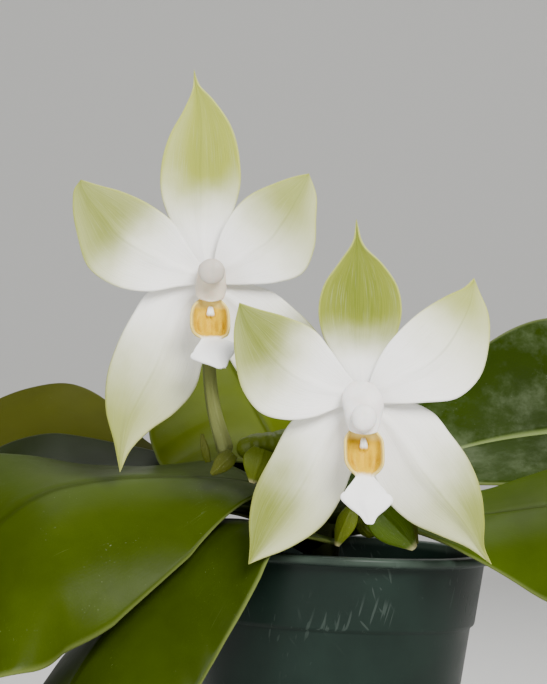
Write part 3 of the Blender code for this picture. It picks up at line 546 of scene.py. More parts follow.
@dataclass(frozen=True)
class LeafSkin:
    """A fleshy leaf: waxy green with a grooved midrib, long veins, a pale margin, dust and scuffs."""

    name: str
    face: Colour = (0.030, 0.046, 0.0006)
    shade: Colour = (0.016, 0.025, 0.0003)
    back: Colour = (0.040, 0.052, 0.004)
    margin: Colour = (0.120, 0.150, 0.040)
    dust: Colour = (0.20, 0.24, 0.15)
    dusty: float = 0.5
    rough: float = 0.34
    grey: float = 0.0
    rib: Colour = (0.016, 0.024, 0.0003)
    rib_strength: float = 0.5

    def material(self) -> bpy.types.Material:
        """Broad mottling, then veins and midrib from "across", the pale edge, and dust on the upper side."""
        graph = Graph(self.name)
        place = graph.place()
        across, along = graph.value("across"), graph.value("along")
        # A blade's grid runs from right to left, so its normals point down and its front is its underside.
        upper = 1 - graph.value("side")
        off_middle = abs(across)
        mottle = graph.noise(place, 26.0, 4.0, 0.55).step(0.30, 0.72)
        fine = graph.noise(place, 210.0, 3.0, 0.6)
        veins = graph.noise(graph.flow(along * 2.2, across * 30.0), 2.4, 2.0, 0.45)
        tissue = graph.cells(place, 1500.0)
        colour = graph.mix(mottle * 0.75 + fine * 0.25, self.shade, self.face)
        colour = graph.mix(veins.step(0.42, 0.68) * 0.05, colour, self.shade)
        # Midrib band: a darker green by default. Where a leaf gives it a pale colour (leaf_6), it is a
        # painted highlight along the midrib's channel.
        colour = graph.mix(off_middle.step(0.055, 0.010) * self.rib_strength, colour, self.rib)
        bloom = graph.noise(place, 60.0, 5.0, 0.7).step(0.42, 0.80)
        patches = graph.noise(place, 75.0, 3.0).step(0.42, 0.70)
        specks = graph.noise(place, 1300.0, 2.0, 0.6).step(0.66, 0.78) * patches
        streak = graph.noise(graph.flow(along * 3.0, across * 55.0, 3.0), 3.0, 2.0).step(0.66, 0.74)
        scuffs = (specks + streak * graph.noise(place, 42.0).step(0.56, 0.70) * 0.7).clamped() * self.dusty
        colour = graph.mix(bloom * self.grey * upper, colour, self.dust)
        colour = graph.mix(scuffs * upper * 0.55, colour, self.dust)
        colour = graph.mix(upper, self.back_colour(graph, veins), colour)
        colour = graph.mix(graph.value("margin").step(0.25, 0.9) * 0.75, colour, self.margin)
        groove = off_middle.step(0.0, 0.035)
        height = groove * 0.5 + veins * 0.06 + tissue * 0.06 + fine * 0.16
        rough = self.rough + bloom * 0.10 + scuffs * 0.25 + (1 - upper) * 0.12
        return graph.finish(
            {"Specular IOR Level": 0.035},
            {"Base Color": colour, "Roughness": rough, "Normal": graph.bump(height, 0.00030, 0.65)},
        )

    def back_colour(self, graph: Graph, veins: Term) -> Term:
        """The paler underside, faintly streaked."""
        return graph.mix(veins.step(0.35, 0.70) * 0.4, self.back, self.shade)


@dataclass(frozen=True)
class GreenSkin:
    """Waxy skin of stems, spikes, bracts and flower stalks."""

    name: str
    foot: Colour
    tip: Colour
    end: Colour | None = None
    end_from: float = 0.86
    rough: float = 0.38
    ribs: float = 10.0

    def material(self) -> bpy.types.Material:
        """A slow change of green along the piece, mottled, with faint long ribs and a pale end if named."""
        graph = Graph(self.name)
        place = graph.place()
        along = graph.value("along")
        mottle = graph.noise(place, 130.0, 4.0, 0.6)
        colour = graph.mix((along * 0.8 + mottle * 0.5 - 0.15).clamped(), self.foot, self.tip)
        if self.end is not None:
            colour = graph.mix(along.step(self.end_from, 1.0), colour, self.end)
        specks = graph.noise(place, 1500.0, 2.0).step(0.64, 0.74)
        colour = graph.mix(specks * 0.08, colour, (0.5, 0.55, 0.4))
        ribs = graph.noise(graph.flow(along * 3.0, graph.value("around") * self.ribs), 2.2, 2.0)
        rough = self.rough + mottle * 0.12
        return graph.finish(
            {"Specular IOR Level": 0.18},
            {
                "Base Color": colour, "Roughness": rough,
                "Normal": graph.bump(ribs + mottle * 0.3, 0.00025, 0.7),
            },
        )


@dataclass(frozen=True)
class TepalSkin:
    """Waxy flower skin: white at the flower's middle, greener outwards, with a pale margin and fine veins.

    The green grows between two shares of the length; its band is strongest at one place across the tepal
    (0 at the left edge, 1 at the right edge) and reaches this far to each side. The band is partly the
    tepals' own green and partly painted shade where their outer parts curl.
    """

    name: str
    white: Colour = (0.87, 0.86, 0.84)
    cream: Colour = (0.36, 0.39, 0.055)
    green: Colour = (0.105, 0.135, 0.003)
    margin: Colour = (0.46, 0.48, 0.15)
    start: float = 0.35
    full: float = 0.9
    band: float = 0.5
    reach: float = 0.5
    strength: float = 0.8
    tint: float = 0.85

    def material(self) -> bpy.types.Material:
        """Three tints mixed by the length and the band, with branching veins and a sparkling cell texture."""
        graph = Graph(self.name)
        place = graph.place()
        along, across = graph.value("along"), graph.value("across")
        drift = (graph.noise(place, 75.0, 3.0) - 0.5) * 0.20
        outward = (along + drift).step(self.start, self.full)
        near_band = abs(across - self.band).step(self.reach, 0.03)
        edge = graph.value("margin")
        pale = (along + drift).step(self.start * 0.6, self.full)
        creamy = ((pale * (near_band * 0.3 + 0.75) + edge * pale * 0.3) * self.tint).clamped()
        colour = graph.mix(creamy, self.white, self.cream)
        streaks = graph.noise(graph.flow(along * 2.0, across * 22.0), 2.0, 3.0)
        # The green band: partly the tepal's own green, partly painted shade on the curled outer parts.
        body = outward * (near_band * 0.75 + 0.25) * (streaks * 0.5 + 0.72) * self.strength
        colour = graph.mix(body.clamped(), colour, self.green)
        centre_line = abs(across - 0.5).step(0.022, 0.004) * along.step(0.2, 0.6)
        colour = graph.mix(centre_line * 0.22, colour, self.green)
        colour = graph.mix(edge.step(0.35, 1.0) * 0.6 * pale, colour, self.margin)
        veins = graph.noise(graph.flow(along * 2.6, across * 34.0, 1.0), 2.6, 2.0, 0.4)
        colour = graph.mix(veins.step(0.44, 0.30) * 0.12, colour, (0.42, 0.46, 0.30))
        cells = graph.cells(place, 3200.0)
        height = veins * 0.6 + cells * 0.10 + graph.noise(place, 420.0, 3.0) * 0.25
        return graph.finish(
            {
                "Specular IOR Level": 0.22, "Subsurface Weight": 0.12, "Subsurface Scale": 0.0008,
                "Subsurface Radius": (1.0, 0.9, 0.6),
            },
            {
                "Base Color": colour, "Roughness": 0.46 + cells * 0.12,
                "Normal": graph.bump(height, 0.00022, 0.6),
            },
        )


@dataclass(frozen=True)
class LipSkin:
    """The lip: deep yellow side lobes with cream rims, fading to a white middle lobe."""

    name: str
    yellow: Colour = (0.58, 0.36, 0.0)
    amber: Colour = (0.50, 0.27, 0.0)
    cream: Colour = (0.76, 0.60, 0.18)
    white: Colour = (0.86, 0.86, 0.85)
    white_from: float = 0.50

    def material(self) -> bpy.types.Material:
        """Yellow by the length, amber blotches, cream towards the rim, and white beyond the waist."""
        graph = Graph(self.name)
        place = graph.place()
        along, across = graph.value("along"), graph.value("across")
        blotch = graph.noise(place, 620.0, 4.0, 0.6)
        colour = graph.mix(blotch.step(0.42, 0.75) * 0.8, self.yellow, self.amber)
        off = abs(across)
        colour = graph.mix(off.step(0.72, 0.95) * 0.9, colour, self.cream)
        colour = graph.mix(along.step(0.13, 0.05), colour, self.cream)
        prong = abs(off - along * 0.55 + 0.035)
        tooth = along.step(0.08, 0.11) * along.step(0.19, 0.16) * prong.step(0.045, 0.02)
        colour = graph.mix(tooth, colour, self.white)
        beyond = (along + (blotch - 0.5) * 0.05).step(self.white_from - 0.055, self.white_from + 0.03)
        colour = graph.mix(beyond, colour, self.white)
        cells = graph.cells(place, 3600.0)
        height = graph.noise(place, 900.0, 3.0) * 0.6 + cells * 0.2
        return graph.finish(
            {"Specular IOR Level": 0.10},
            {
                "Base Color": colour, "Roughness": 0.42 + cells * 0.1,
                "Normal": graph.bump(height, 0.0002, 0.6),
            },
        )


@dataclass(frozen=True)
class ColumnSkin:
    """Smooth waxy white, with a faint blush and a small tinted spot where one is named."""

    name: str
    white: Colour = (0.80, 0.78, 0.76)
    blush: Colour = (0.62, 0.55, 0.50)
    blush_strength: float = 0.35
    spot: Colour | None = None
    spot_place: Point = (0.0, 0.0, 0.0)
    spot_radius: float = 0.0012

    def material(self) -> bpy.types.Material:
        """A soft blotchy blush, a spot by distance from its place, and a fine cell texture."""
        graph = Graph(self.name)
        place = graph.place()
        cloud = graph.noise(place, 240.0, 3.0).step(0.40, 0.75)
        colour = graph.mix(cloud * self.blush_strength, self.white, self.blush)
        if self.spot is not None:
            ends = {0: place, 1: self.spot_place}
            away = graph.node("ShaderNodeVectorMath", {"operation": "DISTANCE"}, ends, 1)
            colour = graph.mix(away.step(self.spot_radius, self.spot_radius * 0.3) * 0.8, colour, self.spot)
        cells = graph.cells(place, 3400.0)
        height = cells * 0.25 + graph.noise(place, 700.0) * 0.5
        return graph.finish(
            {"Subsurface Weight": 0.2, "Subsurface Scale": 0.0012, "Specular IOR Level": 0.32},
            {
                "Base Color": colour, "Roughness": 0.44 + cells * 0.1,
                "Normal": graph.bump(height, 0.00015, 0.5),
            },
        )


@dataclass(frozen=True)
class StudioPaint:
    """Plain pale studio floor."""

    name: str = "studio_floor"
    colour: Colour = (0.72, 0.72, 0.70)

    def material(self) -> bpy.types.Material:
        """Almost even, with a trace of unevenness."""
        graph = Graph(self.name)
        cloud = graph.noise(graph.place(), 3.0)
        colour = graph.mix(cloud * 0.2, self.colour, tuple(0.95 * part for part in self.colour))
        return graph.finish({"Roughness": 0.85}, {"Base Color": colour})


# ---------------------------------------------------------------------------------------------------------
# Pot and what fills it
# ---------------------------------------------------------------------------------------------------------



def above_rim(points: Sequence | Array) -> Array:
    """Millimetre points whose heights count from the rim, as metres in the frame."""
    return np.asarray(points, dtype=float) * MM + (0.0, 0.0, RIM_HEIGHT)


@dataclass
class Pot:
    """Round grower's pot: a turned wall with a lip and a collar, and a floor with drainage holes.

    The collar's foot is eased: each pair gives a rise from it, and the share of its step left at that height.
    """

    lip_height: float = 0.0024
    lip_overhang: float = 0.0031
    collar_height: float = 0.0176
    collar_step: float = 0.0010
    collar_ease: tuple[tuple[float, float], ...] = (
        (-0.0007, 1.0), (-0.0002, 0.75), (0.0003, 0.15), (0.0009, 0.0),
    )
    taper: float = math.radians(6.5)
    wall: float = 0.0011
    floor: float = 0.0018
    hole_radius: float = 0.0034
    hole_ring: float = 0.0215
    hole_count: int = 6
    sector_steps: int = 16
    hole_band: float = 0.0060
    finish: PotPlastic = field(default_factory=PotPlastic)

    def outer(self, height: float) -> float:
        """Outer radius of the wall below the lip at a height, before the collar's step."""
        return RIM_RADIUS - self.lip_overhang - (RIM_HEIGHT - self.lip_height - height) * math.tan(self.taper)

    def wall_profile(self) -> Array:
        """The outline from the floor's underside up the outside, over the lip and down the inside."""
        lip_foot = RIM_HEIGHT - self.lip_height
        collar_foot = lip_foot - self.collar_height
        inner = self.collar_step + self.wall
        ease = 0.0006
        edge = self.hole_ring + self.hole_band
        outline = [(edge, 0.0)]
        outline += arc((self.outer(ease) - self.collar_step - ease, ease), ease, -90, 0, 5)
        for rise, share in self.collar_ease:
            height = collar_foot + rise
            outline += [(self.outer(height) - self.collar_step * share, height)]
        outline += [(self.outer(lip_foot - 0.0006), lip_foot - 0.0006)]
        outline += arc((self.outer(lip_foot) + ease, lip_foot - ease), ease, 180, 90, 5)
        round_lip = self.lip_height * 0.36
        outline += arc((RIM_RADIUS - round_lip, lip_foot + round_lip), round_lip, -90, 0, 6)
        outline += arc((RIM_RADIUS - round_lip, RIM_HEIGHT - round_lip), round_lip, 0, 90, 6)
        inside = self.outer(RIM_HEIGHT) - inner
        outline += arc((inside + ease, RIM_HEIGHT - ease), ease, 90, 180, 5)
        outline += [(self.outer(self.floor + ease) - inner, self.floor + ease)]
        outline += arc((self.outer(self.floor) - inner - ease, self.floor + ease), ease, 0, -90, 4)
        outline += [(edge, self.floor)]
        return np.array(outline)

    def floor_patch(self, height: float, index: int) -> Array:
        """One sector of the floor round a hole: rings from the hole's circle to the sector's edge.

        A point at share s between the two has the radius and the turn of both, mixed by s.
        """
        side = np.linspace(-1.0, 1.0, self.sector_steps, endpoint=False)
        one = np.ones_like(side)
        out = np.concatenate([one, -side, -one, side])
        sideways = np.concatenate([side, one, -side, -one])
        middle = 2 * math.pi * (index + 0.5) / self.hole_count
        radius = self.hole_ring + self.hole_band * out
        turn = middle + math.pi / self.hole_count * sideways
        border = np.stack([radius * np.cos(turn), radius * np.sin(turn)], axis=1)
        around = np.arctan2(sideways, out) + middle
        centre = self.hole_ring * np.array([math.cos(middle), math.sin(middle)])
        hole = centre + self.hole_radius * np.stack([np.cos(around), np.sin(around)], axis=1)
        share = np.linspace(0.0, 1.0, 5)[:, None, None]
        flat = hole[None] * (1 - share) + border[None] * share
        return np.concatenate([flat, np.full((*flat.shape[:2], 1), height)], axis=2)

    def surface(self) -> Surface:
        """Wall, floor disc and the sectors with their holes, welded into one closed skin."""
        segments = self.hole_count * self.sector_steps
        profile = self.wall_profile()
        parts = [revolved(profile, segments)]
        edge = self.hole_ring - self.hole_band
        for height, upward in ((0.0, False), (self.floor, True)):
            rings = np.array([(edge * share, height) for share in (0.04, 0.4, 0.7, 1.0)])
            disc = revolved(rings[::-1] if upward else rings, segments)
            parts.append(Surface(disc.points, disc.quads[:, ::-1]))
            around = np.arange(segments)
            hub = around + (len(rings) - 1) * segments if upward else around
            middle = np.concatenate([disc.points[hub], [[0.0, 0.0, height]]])
            fan = np.stack([around, np.roll(around, -1), np.full(segments, segments)], axis=1)
            parts.append(Surface(middle, np.empty((0, 4), dtype=int), fan if upward else fan[:, ::-1]))
        for index in range(self.hole_count):
            lower, upper = self.floor_patch(0.0, index), self.floor_patch(self.floor, index)
            rows, around, _ = lower.shape
            faces = band(rows, around, True)
            parts.append(Surface(upper.reshape(-1, 3), faces[:, ::-1]))
            parts.append(Surface(lower.reshape(-1, 3), faces))
            bore = np.stack([lower[0], upper[0]])
            parts.append(Surface(bore.reshape(-1, 3), band(2, around, True)[:, ::-1]))
        return self.welded(joined(parts))

    @staticmethod
    def welded(surface: Surface) -> Surface:
        """The surface with points that coincide made one."""
        keys = np.round(surface.points / 1e-6).astype(np.int64)
        _, first, index = np.unique(keys, axis=0, return_index=True, return_inverse=True)
        index = index.ravel()
        return Surface(surface.points[first], index[surface.quads], index[surface.triangles])

    def build(self) -> None:
        """Make the pot, with its faces turned to agree with each other."""
        piece = add_piece("round_pot", self.surface(), self.finish.material(), ["pot"])
        make_consistent(piece)


def make_consistent(piece: bpy.types.Object) -> None:
    """Turn all faces of a closed piece outwards, and keep edges sharper than 60 degrees crisp."""
    bpy.context.view_layer.objects.active = piece
    bpy.ops.object.mode_set(mode="EDIT")
    bpy.ops.mesh.select_all(action="SELECT")
    bpy.ops.mesh.normals_make_consistent(inside=False)
    bpy.ops.object.mode_set(mode="OBJECT")
    piece.data.set_sharp_from_angle(angle=math.radians(60))


@dataclass
class BarkFill:
    """Packed bark with an uneven top, and loose chips on it."""

    gap: float = 0.0004
    chip_count: int = 150
    chip_size: float = 0.0058
    seed: int = 11
    rows: int = 9
    around: int = 10
    finish: Bark = field(default_factory=Bark)

    def body(self, pot: Pot) -> Surface:
        """The filling: a turned solid whose top is pushed up and down by uneven waves."""
        inner = pot.collar_step + pot.wall + self.gap
        foot = pot.floor + self.gap
        top_radius = pot.outer(MEDIUM_TOP) - inner
        outline = [(0.0002, foot), (pot.outer(foot) - inner, foot), (top_radius, MEDIUM_TOP - 0.0006)]
        outline += [(top_radius * share, MEDIUM_TOP) for share in np.linspace(0.985, 0.02, 34)]
        turned = revolved(np.array(outline), 160)
        x, y, z = turned.points.T
        radius = np.hypot(x, y)
        on_top = z > MEDIUM_TOP - 0.0003
        bumps = 0.0007 * ripple(x * 900, y * 900, 1.0) + 0.0004 * ripple(x * 2300, y * 2300, 2.0)
        fade = np.clip((top_radius - radius) / 0.003, 0.0, 1.0)
        turned.points[:, 2] += np.where(on_top, bumps * fade, 0.0)
        return loft(turned.points.reshape(len(outline), 160, 3), {})

    @staticmethod
    def block(rows: int, around: int, power: float, pole: float, shift: float = 0.0) -> Array:
        """Loops of a rounded block: both directions of a sphere, squared off by a power below one.

        Args:
            rows: Loops from bottom to top.
            around: Points round each loop.
            power: The smaller it is, the squarer the block.
            pole: How far the end loops stay from the poles, in radians.
            shift: A turn of the block's corners, in radians.

        Returns:
            The loops, which reach from -1 to 1 along each axis.
        """
        tilt = np.linspace(-1.0, 1.0, rows)[:, None] * (math.pi / 2 - pole)
        turn = np.linspace(0.0, 2 * np.pi, around, endpoint=False)[None, :] + shift
        x, y = (np.sign(part) * np.abs(part) ** power for part in (np.cos(turn), np.sin(turn)))
        ring = np.cos(tilt) ** power
        height = np.sign(np.sin(tilt)) * np.abs(np.sin(tilt)) ** power + 0 * turn
        return np.stack([ring * x, ring * y, height], axis=2)

    def chips(self) -> Surface:
        """Many chips: the template under a random stretch, turn, tilt and place for each."""
        random = np.random.default_rng(self.seed)
        loops = self.block(self.rows, self.around, 0.55, 0.12)
        ring = np.sqrt(random.uniform(0.03, 0.88, self.chip_count)) * (RIM_RADIUS - 0.0085)
        angle = random.uniform(0, 2 * np.pi, self.chip_count)
        size = self.chip_size * random.uniform(0.55, 1.25, self.chip_count)
        turn = random.uniform(0, 2 * np.pi, self.chip_count)
        tilt = random.uniform(-0.35, 0.35, (self.chip_count, 2))
        parts = []
        for each in range(self.chip_count):
            stretch = (size[each] * 0.5, size[each] * 0.34, size[each] * 0.17)
            rough = 1 + 0.16 * ripple(loops[..., 0] * 3 + each, loops[..., 1] * 3 + loops[..., 2] * 2, each)
            turned = Matrix.Rotation(turn[each], 3, "Z") @ Matrix.Rotation(tilt[each][0], 3, "X")
            turned = turned @ Matrix.Rotation(tilt[each][1], 3, "Y")
            placed = (loops * rough[..., None] * stretch) @ np.array(turned).T
            middle = (ring[each] * math.cos(angle[each]), ring[each] * math.sin(angle[each]))
            placed += (*middle, MEDIUM_TOP + 0.0008 + size[each] * 0.06)
            parts.append(loft(placed, {}))
        return joined(parts)

    def big_chip(self, node: str, index: int) -> Surface:
        """One large chip that fills the box of its node, with a broken outline."""
        low, high = (np.array(corner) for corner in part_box(node))
        block = self.block(25, 36, 0.5, 0.05, 0.5)
        uneven = ripple(block[..., 0] * 2.6 + index, block[..., 1] * 2.6 + block[..., 2] * 3.0, index)
        layers = 0.03 * np.sin(block[..., 2] * 14 + 3 * block[..., 0])
        scale = 0.93 + 0.07 * uneven + layers
        return loft(block * scale[..., None] * (high - low) / 2 + (high + low) / 2, {})

    def build(self, pot: Pot) -> None:
        """The filling, its loose chips and the six large ones."""
        bark = self.finish.material()
        add_piece("packed_bark", joined([self.body(pot), self.chips()]), bark, ["bark_medium"])
        for index in range(1, 7):
            node = f"bark_chip_{index}"
            add_piece(f"large_{node}", self.big_chip(node, index), bark, [node])


# ---------------------------------------------------------------------------------------------------------
# Crown: stem, roots and leaves
# ---------------------------------------------------------------------------------------------------------

@dataclass
class Crown:
    """The stem and its aerial roots."""

    stem_axis: tuple[float, float] = (-4.0, 2.0)
    stem_radius: float = 0.0052
    stem_top: float = 0.018
    root_radius: float = 0.0021
    root_azimuths: tuple[int, ...] = (-38, 48, 118, 165)
    node_gap: float = 0.0006

    def beside(self, azimuth: float, height: float, reach: float) -> Array:
        """A point beside the stem in metres; reach is measured out from the stem's surface."""
        angle = math.radians(azimuth)
        out = self.stem_radius + reach
        axis = above_rim((*self.stem_axis, height))
        return axis + np.array((math.cos(angle), math.sin(angle), 0.0)) * out

    def build(self) -> None:
        """The stem and the roots."""
        stem_skin = GreenSkin("stem_skin", (0.030, 0.031, 0.009), (0.024, 0.038, 0.003), rough=0.5)
        foot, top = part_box("stem")[0][2], RIM_HEIGHT + self.stem_top
        axis = above_rim((*self.stem_axis, 0.0))
        route = [(axis[0], axis[1], foot + (top - foot) * share) for share in (0.0, 0.3, 0.6, 0.9, 1.0)]
        radii = [self.stem_radius * share for share in (0.9, 0.97, 0.97, 0.9, 0.55)]
        stem = rod(route, radii, 60, 48, knobs=0.03, reference=(0.0, 1.0, 0.0))
        add_piece("short_stem", stem, stem_skin.material(), ["stem"])
        root_skin = RootSkin().material()
        for index, azimuth in enumerate(self.root_azimuths):
            node = f"aerial_root_{index + 1}"
            route, radii = self.root_route(azimuth, index)
            root = rod(route, radii, 80, 32, knobs=0.05)
            add_piece(f"silvery_{node}", root, root_skin, [node])

    def root_route(self, azimuth: float, index: int) -> tuple[Array, list[float]]:
        """A root's route: out from the stem's foot, a little sideways, and down to the bark."""
        floor = MEDIUM_TOP + 0.0008 + self.root_radius + self.node_gap / 2
        start = self.beside(azimuth, 0.0, self.root_radius + self.node_gap)
        start[2] = floor + 0.0012
        angle = math.radians(azimuth)
        out = np.array((math.cos(angle), math.sin(angle), 0.0))
        side = np.array((-math.sin(angle), math.cos(angle), 0.0))
        reach = 0.30 * RIM_RADIUS
        bend = 0.0022 * (1 if index % 2 else -1)
        route = np.array([
            start,
            start + out * reach * 0.35 + side * bend + (0, 0, 0.0010),
            start + out * reach * 0.75 + side * bend * 0.3 + (0, 0, -0.0004),
            start + out * reach + (0, 0, floor - start[2]),
        ])
        return route, [self.root_radius * 0.96, self.root_radius * 0.95, self.root_radius * 0.85]


@dataclass
class Leaf:
    """A leaf: where it leaves the stem, its midrib beyond that, and its two halves from base to tip.

    The midrib is in millimetres above the rim. Looking from base to tip, left and right give the half
    widths in millimetres, left_angle and right_angle the slopes at the midrib in degrees (up is positive),
    and left_curl and right_curl how far each half has turned by its margin.
    """

    name: str
    azimuth: float
    height: float
    midrib: list[Point]
    left: list[float]
    right: list[float]
    left_angle: list[float]
    right_angle: list[float]
    left_curl: list[float]
    right_curl: list[float]
    skin: LeafSkin
    slot: str = "leaf_green"
    thickness: float = 0.0018
    base_gap: float = 0.0006
    rows: int = 190
    columns: int = 85
    waves: float = 0.00035
    channel: float = 0.0007

    @staticmethod
    def half_blade(width: Array, angle: Array, curl: Array, share: Array) -> tuple[Array, Array]:
        """Run and rise across one half: an arc that leaves the midrib at the angle and turns by the curl."""
        turned = np.where(np.abs(curl) < 0.001, 0.001, curl)
        run = width * (np.sin(angle + turned * share) - np.sin(angle)) / turned
        rise = width * (np.cos(angle) - np.cos(angle + turned * share)) / turned
        return run, rise

    def grid(self, crown: Crown, share: Array, across: Array) -> Array:
        """The blade's middle surface.

        Each half swings out level from the midrib and up or down by its arc. The widths are closed at the
        tip by the root of 1 less the sixth power of the share.
        """
        base = crown.beside(self.azimuth, self.height, self.thickness + self.base_gap)
        midrib = smooth_curve(np.vstack([[base], above_rim(self.midrib)]), share)
        heading = unit(np.gradient(midrib, axis=0) * (1, 1, 0))
        left_hand = np.stack([-heading[:, 1], heading[:, 0], np.zeros(len(share))], axis=1)
        closing = np.sqrt(np.clip(1 - share ** 6, 0.0, 1.0))
        halves = []
        for widths, angles, curls, sign, part in (
            (self.right, self.right_angle, self.right_curl, -1.0, -across[across < 0]),
            (self.left, self.left_angle, self.left_curl, 1.0, across[across >= 0]),
        ):
            width = (smooth_values(widths, share) * MM * closing)[:, None] + 0.0001
            angle = np.radians(smooth_values(angles, share))[:, None]
            curl = np.radians(smooth_values(curls, share))[:, None]
            run, rise = self.half_blade(width, angle, curl, part[None, :])
            points = midrib[:, None, :] + left_hand[:, None, :] * (sign * run)[..., None]
            points[..., 2] += rise
            halves.append(points)
        grid = np.concatenate(halves, axis=1)
        flex = self.waves * ripple(share[:, None] * 22, across[None, :] * 3.0, self.azimuth)
        grid[..., 2] += flex * np.abs(across)[None, :] * np.sin(np.pi * share)[:, None]
        return grid

    def surface(self, crown: Crown) -> Surface:
        """The closed blade: thickest along the midrib, with a keel below, and rounded at the edge."""
        share = graded(self.rows, 30, 0.0)
        across = np.linspace(-1.0, 1.0, self.columns)
        across = np.sign(across) * (np.abs(across) * 0.6 + 0.4 * np.abs(across) ** 0.55)
        across = across / np.abs(across).max()
        grid = self.grid(crown, share, across)
        to_edge = 1 - np.abs(across)[None, :] + 0 * share[:, None]
        to_tip = (1 - share)[:, None] * 5 + 0 * across[None, :]
        inward = np.clip(np.minimum(to_edge * 18, to_tip * 12), 0, 1)
        rounding = np.sqrt(np.clip(1 - (1 - inward) ** 2, 0.01, 1))
        keel = 1 + 0.45 * np.exp(-(across / 0.07) ** 2)[None, :]
        body = 0.70 + 0.30 * np.cos(np.clip(across, -1, 1) * np.pi / 2)[None, :]
        thickness = self.thickness * rounding * keel * body
        fading = np.sin(np.pi * np.minimum(share * 1.02, 1))[:, None]
        grid[..., 2] -= self.channel * (np.exp(-(across / 0.05) ** 2)[None, :] * fading)
        margin = np.exp(-np.minimum(to_edge * 30, to_tip * 20))
        values = {
            "along": np.repeat(share[:, None], self.columns, axis=1),
            "across": np.repeat(across[None, :], len(share), axis=0),
            "margin": margin,
        }
        return shell(grid, thickness, values)

    def build(self, crown: Crown) -> None:
        """Make the leaf."""
        surface = self.surface(crown)
        add_piece(f"fleshy_{self.name}", surface, self.skin.material(), [self.name])


